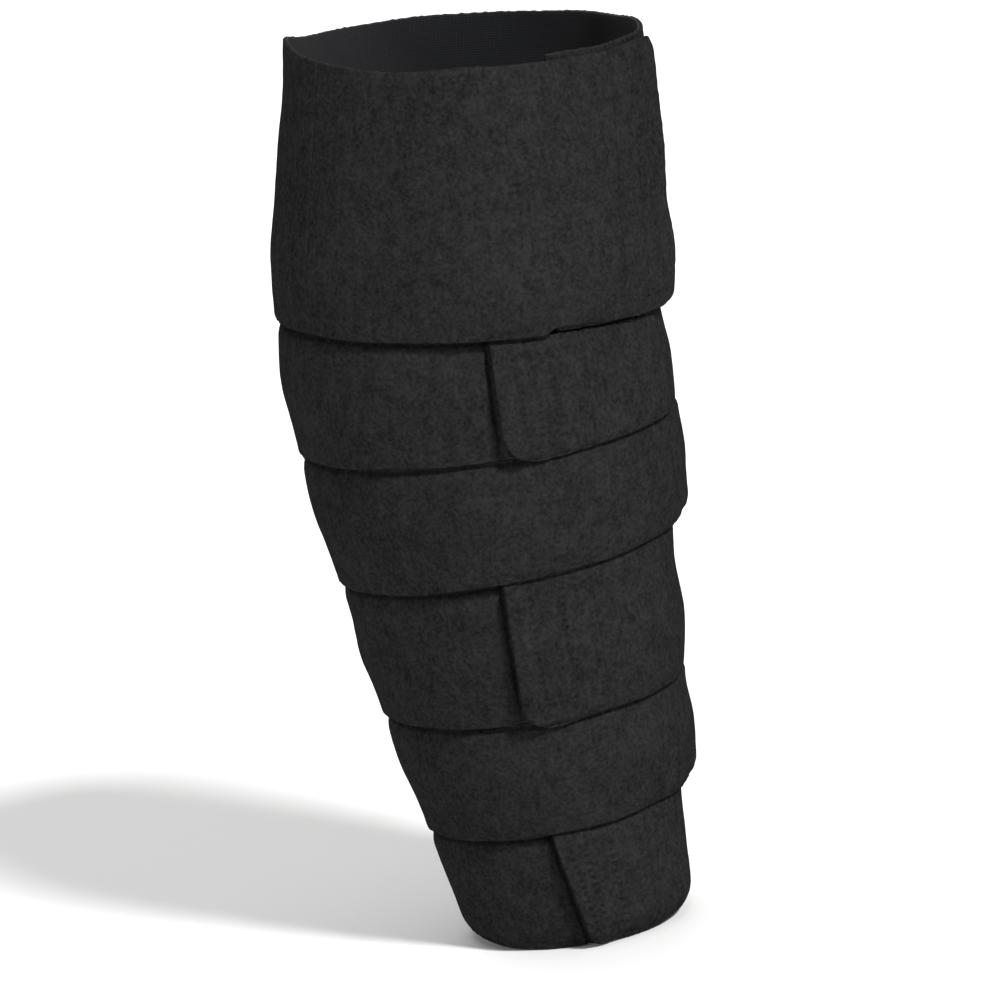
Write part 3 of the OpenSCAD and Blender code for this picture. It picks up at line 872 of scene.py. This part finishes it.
def band_grid(wrap, k, angle, foot, top, step, grooved=False):
    """Stations, rises and widths of a grid over band k between two edges, at these angles."""
    width = (top - foot) * wrap.show[k - 1]
    line = (k - foot) * wrap.show[k - 1] if grooved and k < wrap.bands else None
    rise = rise_rows(width, step, wrap.look.rounding, line)
    station = foot[:, None] + rise / wrap.show[k - 1]
    return np.broadcast_to(angle[:, None], rise.shape), station, rise, width[:, None]


def pile_height(wrap, k, angle, station, distance):
    """How far the pile stands up or lies down: a fine ripple all over, and a coarser one by a cut edge."""
    ripple, tufts, reach = millimetres(0.03, 0.08, 1.5)
    up = wrap.height_of(station)
    fine = waves(60 + k, angle, up, 0.02, 0.006, 30)
    coarse = waves(80 + k, angle, up, 0.01, 0.003, 30)
    return fine * ripple + coarse * tufts * np.exp(-distance / reach)


def strip_rows_of_stitches(wrap, k):
    """Two rows up band k, where it is sewn to the spine tape: flat places as angle times radius and rise."""
    inset, foot = millimetres(2, 3)
    half = wrap.size.spine_width / 2 - inset
    return [((side * half, foot), (side * half, wrap.show[k - 1] - inset)) for side in (-1, 1)]


def make_strip(wrap, k):
    """Band k's fixed layer, from the fold line round the back to its free end under the arm. Its columns are
    closer together beside the end of the tab, which presses a groove into it. Its outer face lies a cloth's
    thickness above its leg side, less the rounding, the stitching and the groove, plus the pile."""
    seam_share = 0.7
    size, look = wrap.size, wrap.look
    fold, under = size.fold_angle[k - 1], size.under_angle[k - 1]
    radius = wrap.mid_radius(k)
    low, high = min(fold, under), max(fold, under)
    along = graded(low * radius, high * radius, look.grid, look.rounding,
                   round_start=low == under, round_end=high == under)
    end = (size.tab_angle[k - 1] - wrap.way(k) * FULL_TURN) * radius
    reach = (6.0 if k == 1 else 4.0) * MM
    fine = np.arange(end - reach, end + reach, 0.3 * MM)
    along = np.sort(np.concatenate([along[np.abs(along - end) > reach + look.grid / 2], fine]))
    angle = along / radius
    foot, top = wrap.strip_foot(k, angle), wrap.strip_top(k, angle)
    angle, station, rise, width = band_grid(wrap, k, angle, foot, top, look.grid, True)
    free_end = np.abs(angle - under) * radius
    distance = np.minimum(np.minimum(rise, width - rise), free_end)
    drop = rounded_edge(distance, look.rounding)
    level = wrap.strip_level(k, station)
    sewn = dimples(look, strip_rows_of_stitches(wrap, k), (angle - HALF_TURN) * radius, rise)
    nap = pile_height(wrap, k, angle, station, distance)
    pressed = wrap.beside_tab(k, angle, station)
    outer = wrap.skin(angle, station, level + size.fabric - drop - seam_share * sewn + nap - pressed)
    inner = wrap.skin(angle, station, level + drop)
    piece = sheet_piece(f"band_{k}_fixed_cloth", outer, inner, flat_uv(wrap, k, angle, station),
                        cloth_materials(), (low == fold, high == fold))
    settle_piece(piece, "wrap", f"band_{k}_strip")
    declare_cloth(wrap, k, high - low)


def declare_cloth(wrap, k, turned):
    """Works out the length round the leg of a piece of band k from the angle that it turns through; the
    length is not used."""
    around = float(turned * wrap.mid_radius(k))


def make_arm(wrap, k):
    """Band k's arm, from its fold line to its peel line. Its outer face lies a cloth's thickness above its
    leg side, less the rounding, plus the pile."""
    size, look = wrap.size, wrap.look
    fold, radius, way = size.fold_angle[k - 1], wrap.mid_radius(k), wrap.way(k)
    reach = wrap.reach(k) - size.tab_length
    along = graded(0.0, reach, look.grid, look.rounding, False, False)
    angle = fold + way * along[::way] / radius
    foot, top = wrap.arm_foot(k, angle), wrap.arm_top(k, angle)
    angle, station, rise, width = band_grid(wrap, k, angle, foot, top, look.grid, True)
    distance = np.minimum(rise, width - rise)
    drop = rounded_edge(distance, look.rounding)
    nap = pile_height(wrap, k, angle, station, distance)
    outer = wrap.arm_point(k, angle, station, size.fabric - drop + nap)
    inner = wrap.arm_point(k, angle, station, drop)
    piece = sheet_piece(f"band_{k}_arm_cloth", outer, inner, flat_uv(wrap, k, angle, station),
                        cloth_materials(), (True, True))
    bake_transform(piece)
    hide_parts(f"band_{k}_arm")
    declare_cloth(wrap, k, reach / radius)


# Upright rows of stitches on each tab, in millimetres from its end
STITCH_COLUMNS = {1: (3.8, 8.4, 17.5), 2: (5.0, 19.0), 3: (8.5, 19.6), 4: (5.0, 19.0), 5: (7.8, 13.5, 19.3),
                  6: (5.0, 12.0, 19.0)}
LARGE_CORNER = 10 * MM  # a tab's corner beyond this keeps its patch and its stitches higher


def tab_rows_of_stitches(wrap, k):
    """The box of stitches that holds band k's hook patch, with any rows inside it, in metres from the tab's
    end and up from its lower edge."""
    inset, raised = millimetres(1.5, 4.5)
    columns = millimetres(*STITCH_COLUMNS[k])
    low = wrap.size.patch_edge_margin + (raised if wrap.size.tab_corner[k - 1] > LARGE_CORNER else inset)
    high = wrap.tab_width(k) - wrap.size.patch_edge_margin - inset
    upright = [((x, low), (x, high)) for x in columns]
    level = [((columns[0], y), (columns[-1], y)) for y in (low, high)]
    return upright + level


def make_tab(wrap, k):
    """Band k's tab, from its peel line to its end, whose lower corner is rounded: a quarter circle is taken
    off its lower edge there, and a small one off its upper edge. The outer face is pulled in along its
    stitching."""
    size, look = wrap.size, wrap.look
    radius, way, corner = wrap.mid_radius(k), wrap.way(k), size.tab_corner[k - 1]
    upper, bend_share = min(corner, 0.9 * MM), 0.75
    turned = corner * (1 - np.sin(np.radians(np.arange(0, 90, 7.5))))
    plain = graded(0.0, size.tab_length, look.tab_grid, look.rounding, True, False)
    inward = np.unique(np.round(np.concatenate([plain, turned]), 7))
    angle = size.tab_angle[k - 1] - way * inward / radius
    order = np.argsort(angle)
    angle, inward = angle[order], inward[order]
    straight_foot, straight_top = wrap.arm_foot(k, angle), wrap.arm_top(k, angle)
    full = (straight_top - straight_foot) * wrap.show[k - 1]
    cut_low, cut_high = rounded_edge(inward, corner), rounded_edge(inward, upper)
    foot = straight_foot + cut_low / wrap.show[k - 1]
    top = straight_top - cut_high / wrap.show[k - 1]
    angle, station, rise, width = band_grid(wrap, k, angle, foot, top, look.tab_grid)
    inward = np.broadcast_to(inward[:, None], rise.shape)
    up = rise + cut_low[:, None]
    down = full[:, None] - up
    distance = np.minimum(corner_distance(inward, up, corner), corner_distance(inward, down, upper))
    drop = rounded_edge(distance, look.rounding)
    sewn = dimples(look, tab_rows_of_stitches(wrap, k), inward, up)
    nap = pile_height(wrap, k, angle, station, distance)
    outer = wrap.arm_point(k, angle, station, size.fabric - drop - sewn + nap)
    inner = wrap.arm_point(k, angle, station, drop)
    piece = sheet_piece(f"band_{k}_tab_cloth", outer, inner, flat_uv(wrap, k, angle, station),
                        cloth_materials(), (way > 0, way < 0))
    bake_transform(piece)
    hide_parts(f"band_{k}_tab")
    declare_cloth(wrap, k, size.tab_length / radius)


def corner_distance(inward, up, corner):
    """Distance to the outline of a sheet with one rounded corner: straight to its two edges, and to the arc
    within the corner."""
    in_corner = (inward < corner) & (up < corner)
    arc = corner - np.hypot(corner - inward, corner - up)
    return np.clip(np.where(in_corner, arc, np.minimum(inward, up)), 0, None)


def make_tab_stitches(wrap, k):
    """The threads on the outside of band k's tab, sunk by three quarters of a dimple."""
    size, look = wrap.size, wrap.look

    def place(inward, up, height):
        return wrap.on_tab(k, inward, up, size.fabric - 0.75 * look.dimple + height)

    stitches(f"band_{k}_tab_stitches", tab_rows_of_stitches(wrap, k), place, look,
             materials()["thread"], f"tab_{k}")


def make_spine_stitches(wrap, k):
    """The threads on the outside of band k, along the spine tape, sunk by half a dimple."""
    size, look = wrap.size, wrap.look

    def place(across, rise, height):
        angle = HALF_TURN + across / wrap.mid_radius(k)
        station = wrap.strip_foot(k, angle) + rise / wrap.show[k - 1]
        level = wrap.strip_level(k, station)
        return wrap.skin(angle, station, level + size.fabric - 0.5 * look.dimple + height)

    stitches(f"band_{k}_spine_stitches", strip_rows_of_stitches(wrap, k), place, look,
             materials()["thread"], "wrap")


def make_hook_patch(wrap, k):
    """Band k's hook tape: a thin base sewn flat under the tab, and its rows of hooks."""
    size, made = wrap.size, materials()
    base, grid, rounding, raised = millimetres(0.35, 1.5, 0.12, 4)
    extra = raised if size.tab_corner[k - 1] > LARGE_CORNER else 0.0
    start, end = size.patch_end_margin, size.patch_end_margin + size.patch_width
    low, high = size.patch_edge_margin + extra, wrap.tab_width(k) - size.patch_edge_margin
    x, y, _, drop = flat_patch(start, end, low, high, (grid, grid), rounding)
    seat = -0.4 * size.seam_gap
    top = wrap.on_tab(k, x, y, seat - drop)
    bottom = wrap.on_tab(k, x, y, seat - base + drop)
    tape = sheet_piece(f"band_{k}_hook_base", top, bottom, np.stack([x, y], axis=-1), [made["tape"]])
    settle_piece(tape, f"tab_{k}", f"band_{k}_hook_patch")

    points = hook_points(wrap, k, (start, end), (low, high), seat - base, size.hook_tape - base)
    faces = tube_faces(len(points), *points.shape[1:3])
    hooks = make_piece(f"band_{k}_hooks", points, faces, [made["hooks"]])
    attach(hooks, f"tab_{k}")


def hook_points(wrap, k, sides_at, rows_at, seat, tall):
    """Rows of hooks on band k's tape that lean alternate ways, hook by hook and ring by ring. A hook is a
    bent horn of five rings of five points: its centre line rises, then turns over by three eighths of a
    circle, and it thins by half."""
    rings = sides = 5
    pitch, margin, first = millimetres(1.4, 1.0, 0.8)
    stem, stem_rise, turned, arch, tilt = 0.375, 0.52, 0.42, 0.36, 0.6
    nx, ny = (int((high - low - margin) / pitch) for low, high in (sides_at, rows_at))
    cx = sides_at[0] + first + np.arange(nx) * pitch
    cy = rows_at[0] + first + np.arange(ny) * pitch
    hx, hy = (v.ravel()[:, None, None] for v in np.meshgrid(cx, cy, indexing="ij"))
    lean = np.where(np.arange(nx) % 2 == 0, 1.0, -1.0).repeat(ny)[:, None, None]
    t = np.linspace(0, 1, rings)[None, :, None]
    turn_round = (np.arange(sides) * FULL_TURN / sides)[None, None, :]
    thick = tall * (0.24 - 0.12 * t)
    bend = 0.75 * HALF_TURN * np.clip((t - stem) / (1 - stem), 0, 1)
    run = tall * turned * (1 - np.cos(bend))
    down = tall * (stem_rise * np.clip(t / stem, 0, 1) + arch * np.sin(bend))
    px = hx + thick * np.cos(turn_round)
    py = hy + lean * (run + thick * np.sin(turn_round) * np.cos(bend * tilt))
    ph = seat - down + thick * np.sin(turn_round) * np.sin(bend * tilt)
    return wrap.on_tab(k, *np.broadcast_arrays(px, py, ph))


def make_spine(wrap):
    """The spine tape inside the calf, which follows the bands' leg side, and its two rows of stitches. The
    sine of the height makes its ribs."""
    size, look, made = wrap.size, wrap.look, materials()
    rounding, inset, rib, rib_height = 0.0004, 0.002, 0.0022, 0.00006
    sewn_share, sunk = 0.5, 0.4
    half = size.spine_width / 2
    low, high = 0.004, float(wrap.edge_z[wrap.bands - 1])

    def place(x, y, height):
        """A place on the bands' leg side: its angle is half a turn plus the distance across over the
        radius."""
        station = np.interp(y, wrap.edge_z, np.arange(wrap.bands + 1))
        angle = HALF_TURN + x / wrap.between_edges(size.edge_radius, station)
        return wrap.skin(angle, station, height - size.layer_gap)

    x, y, _, drop = flat_patch(-half, half, low, high, (0.002, rib), rounding)
    ribs = rib_height * np.sin(FULL_TURN * y / rib)
    side = half - inset
    rows = [((way * side, low + inset), (way * side, high - inset)) for way in (-1, 1)]
    sewn = sewn_share * dimples(look, rows, x, y)
    outer = place(x, y, -drop)
    inner = place(x, y, drop + sewn + ribs - size.spine_tape_thick)
    tape = sheet_piece("spine_tape_woven", outer, inner, np.stack([x, y], axis=-1), [made["tape"]])
    settle_piece(tape, "wrap", "spine_tape")

    def on_tape(x, y, height):
        """A thread's place on the tape's free face, sunk into its dimples."""
        return place(x, y, sunk * look.dimple - size.spine_tape_thick - height)

    stitches("spine_tape_stitches", rows, on_tape, look, made["thread"], "wrap")


class PocketShape:
    """The pocket's panel over the cold pack, in angles and in metres up from the top band's lower edge."""

    def __init__(self, wrap):
        self.wrap, size, pack = wrap, wrap.size, wrap.pack
        self.radius = min(size.edge_radius[wrap.bands - 1], size.edge_radius[wrap.bands])
        self.left, self.right = pack.pocket_angle - pack.pocket_half, pack.pocket_angle + pack.pocket_half
        self.depth = pack.pack_thick + 2 * pack.pack_gap

    def point(self, angle, up, height):
        """On the band along the seams and round the pack between them: the two surfaces are mixed by a
        smooth rise from the seams inward."""
        wrap, pack = self.wrap, wrap_pack(self.wrap)
        side = np.minimum(angle - self.left, self.right - angle) * self.radius
        rise = np.minimum(side, up - pack.pocket_foot) / pack.pocket_rise
        share = smooth(rise)[..., None]
        station = wrap.bands - 1 + up / wrap.show[-1]
        on_band = wrap.skin(angle, station, height - wrap.size.seam_gap)
        over_pack = wrap.lane(angle, up, height - wrap.size.seam_gap - self.depth)
        return on_band + (over_pack - on_band) * share


def wrap_pack(wrap):
    return wrap.pack


def make_pocket(wrap):
    """The knit pocket, its bound mouth and its stitches."""
    size, look, pack = wrap.size, wrap.look, wrap.pack
    shape, made = PocketShape(wrap), materials()
    flange = pack.flange / shape.radius
    start, end = (shape.left - flange) * shape.radius, (shape.right + flange) * shape.radius
    low, high = pack.pocket_foot - pack.flange, pack.pocket_mouth
    rounding = 0.0003
    x, y = np.meshgrid(graded(start, end, 0.0011, rounding), graded(low, high, 0.0013, rounding), indexing="ij")
    angle = x / shape.radius
    edge = np.minimum(np.minimum(x - start, end - x), np.minimum(y - low, high - y))
    drop = rounded_edge(edge, rounding)
    puckers = 0.00025 * waves(7, angle, y, 0.03, 0.011) * np.exp(
        -np.minimum(np.minimum(x - start, end - x), y - low) / 0.012)
    outer = shape.point(angle, y, -drop)
    inner = shape.point(angle, y, -pack.panel_thick + drop - np.abs(puckers) * 0.5)
    panel = sheet_piece("pocket_knit_panel", outer, inner, np.stack([x, y], axis=-1), [made["panel"]])
    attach(panel, "wrap")
    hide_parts("pocket_panel")

    margin = pack.pocket_rise / shape.radius
    start, end = (shape.left + margin) * shape.radius, (shape.right - margin) * shape.radius
    low = high - pack.binding_width
    x, y = np.meshgrid(graded(start, end, 0.0012, rounding), graded(low, high, 0.0009, rounding), indexing="ij")
    edge = np.minimum(np.minimum(x - start, end - x), np.minimum(y - low, high - y))
    drop = rounded_edge(edge, rounding)
    depth = -pack.panel_thick - size.seam_gap
    outer = shape.point(x / shape.radius, y, depth - drop)
    inner = shape.point(x / shape.radius, y, depth - pack.panel_thick + drop)
    binding = sheet_piece("pocket_mouth_binding", outer, inner, np.stack([y, x], axis=-1), [made["tape"]])
    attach(binding, "wrap")
    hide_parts("pocket_binding")

    left, right = shape.left * shape.radius, shape.right * shape.radius
    foot, mouth, inset = pack.pocket_foot, pack.pocket_mouth, 0.002
    seam = [((left - inset, foot - inset), (left - inset, mouth - inset)),
            ((right + inset, foot - inset), (right + inset, mouth - inset)),
            ((left - inset, foot - inset), (right + inset, foot - inset))]

    def place(x, y, height):
        return shape.point(x / shape.radius, y, -pack.panel_thick - height)

    stitches("pocket_seam_stitches", seam, place, look, made["thread"], "wrap")

    def place_binding(x, y, height):
        return shape.point(x / shape.radius, y, depth - pack.panel_thick - height)

    hem = [((start + inset, low + inset), (end - inset, low + inset))]
    stitches("pocket_binding_stitches", hem, place_binding, look, made["thread"], "wrap")


class PackShape:
    """The cold pack: a welded rim, and gel cells side by side within it."""

    def __init__(self, wrap):
        self.wrap = wrap
        pocket, pack = PocketShape(wrap), wrap.pack
        self.radius = pocket.radius
        inset = (pack.pocket_rise + MM) / self.radius
        self.start, self.end = (pocket.left + inset) * self.radius, (pocket.right - inset) * self.radius
        self.low, self.high = pack.pocket_foot + pack.pocket_rise + MM, pack.pocket_mouth - 2 * MM
        self.gel_depth = pack.pack_thick - 2 * pack.film - 2 * wrap.size.seam_gap

    def fill(self, x, y):
        """Share of the gel's depth: none on a weld, and in each cell a pillow, the product of two rounded
        rises from its welds."""
        pack = self.wrap.pack
        share, side, hair = 1.0, 0.009, 1e-9
        for value, low, high, cells in ((x, self.start, self.end, pack.cells[0]),
                                        (y, self.low, self.high, pack.cells[1])):
            low, high = low + pack.weld, high - pack.weld
            span = (high - low) / cells
            inside = np.clip((value - low) / span, 0, cells - hair)
            local = (inside - np.floor(inside)) * span
            edge = np.minimum(local, span - local) - pack.cell_weld / 2
            edge = np.where((value < low) | (value > high), -1.0, edge)
            share = share * np.sqrt(1 - (1 - np.clip(edge / side, 0, 1)) ** 2)
        return share


def make_cold_pack(wrap):
    """The two films, welded at the rim and between the cells, and the gel between them."""
    pack, shape, made = wrap.pack, PackShape(wrap), materials()
    size, rounding = wrap.size, 0.0001
    xs, ys = (graded(a, b, 0.0011, rounding) for a, b in ((shape.start, shape.end), (shape.low, shape.high)))
    x, y = np.meshgrid(xs, ys, indexing="ij")
    edge = np.minimum(np.minimum(x - shape.start, shape.end - x), np.minimum(y - shape.low, shape.high - y))
    drop = rounded_edge(edge, rounding)
    crimp_height, crimp_step, wrinkle_height = 0.00007, 0.0016, 0.00022
    crimp = crimp_height * np.sin(FULL_TURN * (x + y) / crimp_step) * (edge < pack.weld) * smooth(edge / MM)
    wrinkle = wrinkle_height * waves(9, x / shape.radius, y, 0.02, 0.007, 24)
    depth = pack.pack_gap
    back = wrap.lane(x / shape.radius, y, -depth - drop)
    back_in = wrap.lane(x / shape.radius, y, -depth - pack.film + drop)
    film = sheet_piece("cold_pack_back", back, back_in, np.stack([x, y], axis=-1), [made["film"]])
    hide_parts("cold_pack_back_film")
    fill = shape.fill(x, y)
    level = depth + pack.film + size.seam_gap + (shape.gel_depth + size.seam_gap) * fill
    level = level + wrinkle * fill + crimp
    front = wrap.lane(x / shape.radius, y, -level - drop)
    front_in = wrap.lane(x / shape.radius, y, -level - pack.film + drop)
    cover = sheet_piece("cold_pack_front", front, front_in, np.stack([x, y], axis=-1), [made["film"]])
    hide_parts("cold_pack_front_film")
    gel = make_gel(wrap, shape, depth + pack.film + size.seam_gap)
    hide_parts("cold_pack_gel")
    for piece, slot in ((film, "pack_film"), (cover, "pack_film"), (gel, "cold_gel")):
        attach(piece, "cold_pack")


def make_gel(wrap, shape, depth):
    """A pad of gel in each cell: flat against the back film, and a pillow just under the front film."""
    pack = wrap.pack
    points, faces, count = [], [], 0
    width = (shape.end - shape.start - 2 * pack.weld) / pack.cells[0]
    height = (shape.high - shape.low - 2 * pack.weld) / pack.cells[1]
    margin = pack.cell_weld / 2 + 0.0003
    for i in range(pack.cells[0]):
        for j in range(pack.cells[1]):
            x0, y0 = shape.start + pack.weld + i * width, shape.low + pack.weld + j * height
            x, y = np.meshgrid(np.linspace(x0 + margin, x0 + width - margin, 26),
                               np.linspace(y0 + margin, y0 + height - margin, 32), indexing="ij")
            fill = shape.fill(x, y)
            outer = wrap.lane(x / shape.radius, y, -depth + 0 * fill)
            inner = wrap.lane(x / shape.radius, y, -depth - np.maximum(shape.gel_depth * fill, 0.00005))
            face = grid_faces(26, 32)
            far = 26 * 32
            ring = outline(26, 32)
            after = np.roll(ring, -1)
            wall = np.stack([ring, ring + far, after + far, after], axis=1)
            points.append(np.concatenate([outer.reshape(-1, 3), inner.reshape(-1, 3)]))
            faces.append(np.concatenate([face, face[:, ::-1] + far, wall]) + count)
            count += 2 * far
    return make_piece("cold_pack_gel_cells", np.concatenate(points), [np.concatenate(faces)],
                      [materials()["gel"]])


# Stage

SUNS = {"key": (-51, 43, 3.6, 9), "fill": (-150, 18, 0.6, 60), "top": (100, 78, 1.0, 60),
        "back": (105, 34, 1.0, 60)}  # degrees round and up, strength, and degrees across
CAMERA_TARGET, CAMERA_DISTANCE = (-0.00487, 0.0, 0.15216), 2.118
CAMERA_RISE, CAMERA_ROLL, CAMERA_LENS = 12.58, -9.5, 220.2
WORLD_STRENGTH, FLOOR_HALF, FLOOR_DROP = 0.2, 15.0, 0.0003


def aim(obj, position, target, roll=0.0):
    """Puts a camera or light at a position, looking at a target, turned about its line of sight."""
    forward = (Vector(target) - Vector(position)).normalized()
    right = forward.cross(Vector((0, 0, 1))).normalized()
    up = right.cross(forward)
    c, s = np.cos(roll), np.sin(roll)
    right, up = right * c + up * s, up * c - right * s
    turned = Matrix((right, up, -forward)).transposed().to_4x4()
    obj.matrix_world = Matrix.Translation(position) @ turned


class WRAP_OT_stage(bpy.types.Operator):
    """Makes the floor, the lights and the camera"""
    bl_idname = "wrap.stage"
    bl_label = "Stage"

    def execute(self, context):
        scene = context.scene
        turns = ((-1, -1), (1, -1), (1, 1), (-1, 1))
        corners = [(x * FLOOR_HALF, y * FLOOR_HALF, -FLOOR_DROP) for x, y in turns]
        mesh = bpy.data.meshes.new("floor")
        mesh.from_pydata(corners, [], [(0, 1, 2, 3)])
        floor = bpy.data.objects.new("floor", mesh)
        scene.collection.objects.link(floor)
        material, tree, shader = start_material("floor", **{"Roughness": 0.9, "Specular IOR Level": 0.1})
        shader.inputs["Base Color"].default_value = rgba(scene.wrap_colours.floor)
        mesh.materials.append(material)
        world = scene.world or bpy.data.worlds.new("World")
        scene.world = world
        world.use_nodes = True
        background = next(n for n in world.node_tree.nodes if n.type == "BACKGROUND")
        background.inputs[0].default_value = (1, 1, 1, 1)
        background.inputs[1].default_value = WORLD_STRENGTH
        for name, (around, rise, strength, softness) in SUNS.items():
            light = bpy.data.lights.new(name, "SUN")
            light.energy = strength
            light.angle = degrees(softness)[0]
            lamp = bpy.data.objects.new(name, light)
            scene.collection.objects.link(lamp)
            a, e = degrees(around, rise)
            aim(lamp, (3 * np.cos(a) * np.cos(e), 3 * np.sin(a) * np.cos(e), 3 * np.sin(e)), (0, 0, 0))
        data = bpy.data.cameras.new("camera")
        data.sensor_width = 36.0
        data.lens = CAMERA_LENS
        camera = bpy.data.objects.new("camera", data)
        scene.collection.objects.link(camera)
        rise, roll = degrees(CAMERA_RISE, CAMERA_ROLL)
        target = Vector(CAMERA_TARGET)
        back = Vector((0, -np.cos(rise), np.sin(rise)))
        aim(camera, target + back * CAMERA_DISTANCE, target, roll)
        scene.camera = camera
        scene.view_settings.view_transform = "Standard"
        return {"FINISHED"}


class WRAP_OT_bands(bpy.types.Operator):
    """Makes the fixed layer, the arm and the tab of each band"""
    bl_idname = "wrap.bands"
    bl_label = "Bands"

    def execute(self, context):
        wrap = Wrap(context.scene)
        for k in range(1, wrap.bands + 1):
            make_strip(wrap, k)
            make_arm(wrap, k)
            make_tab(wrap, k)
        return {"FINISHED"}


class WRAP_OT_stitching(bpy.types.Operator):
    """Sews the tabs, and the bands to the spine tape"""
    bl_idname = "wrap.stitching"
    bl_label = "Stitching"

    def execute(self, context):
        wrap = Wrap(context.scene)
        for k in range(1, wrap.bands + 1):
            make_tab_stitches(wrap, k)
            make_spine_stitches(wrap, k)
        return {"FINISHED"}


class WRAP_OT_hook_patches(bpy.types.Operator):
    """Makes the hook tape under each tab"""
    bl_idname = "wrap.hook_patches"
    bl_label = "Hook patches"

    def execute(self, context):
        wrap = Wrap(context.scene)
        for k in range(1, wrap.bands + 1):
            make_hook_patch(wrap, k)
        return {"FINISHED"}


class WRAP_OT_spine(bpy.types.Operator):
    """Makes the spine tape"""
    bl_idname = "wrap.spine"
    bl_label = "Spine tape"

    def execute(self, context):
        make_spine(Wrap(context.scene))
        return {"FINISHED"}


class WRAP_OT_pocket(bpy.types.Operator):
    """Makes the pocket inside the top band"""
    bl_idname = "wrap.pocket"
    bl_label = "Pocket"

    def execute(self, context):
        make_pocket(Wrap(context.scene))
        return {"FINISHED"}


class WRAP_OT_cold_pack(bpy.types.Operator):
    """Makes the gel cold pack"""
    bl_idname = "wrap.cold_pack"
    bl_label = "Cold pack"

    def execute(self, context):
        make_cold_pack(Wrap(context.scene))
        return {"FINISHED"}


OPERATORS = (WRAP_OT_stage, WRAP_OT_spine, WRAP_OT_bands, WRAP_OT_stitching, WRAP_OT_hook_patches,
             WRAP_OT_pocket, WRAP_OT_cold_pack)
SETTINGS = {"wrap_sizes": WrapSizes, "pack_sizes": PackSizes, "cloth_look": ClothLook,
            "wrap_colours": WrapColours}


class WRAP_PT_panel(bpy.types.Panel):
    """Lists the wrap's pieces in the sidebar"""
    bl_idname = "WRAP_PT_panel"
    bl_label = "Cold compression wrap"
    bl_space_type = "VIEW_3D"
    bl_region_type = "UI"
    bl_category = "Wrap"

    def draw(self, context):
        for operator in OPERATORS:
            self.layout.operator(operator.bl_idname)
        for name, group in SETTINGS.items():
            box = self.layout.box()
            for key in group.__annotations__:
                box.prop(getattr(context.scene, name), key)


def register():
    for made in (*SETTINGS.values(), *OPERATORS, WRAP_PT_panel):
        bpy.utils.register_class(made)
    for name, group in SETTINGS.items():
        setattr(bpy.types.Scene, name, bpy.props.PointerProperty(type=group))


def unregister():
    for name in SETTINGS:
        delattr(bpy.types.Scene, name)
    for made in reversed((*SETTINGS.values(), *OPERATORS, WRAP_PT_panel)):
        bpy.utils.unregister_class(made)


def main():
    """Builds the wrap piece by piece."""
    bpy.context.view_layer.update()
    register()
    bpy.ops.wrap.stage()
    bpy.ops.wrap.spine()
    bpy.ops.wrap.bands()
    bpy.ops.wrap.stitching()
    bpy.ops.wrap.hook_patches()
    bpy.ops.wrap.pocket()
    bpy.ops.wrap.cold_pack()


if __name__ == "__main__":
    main()
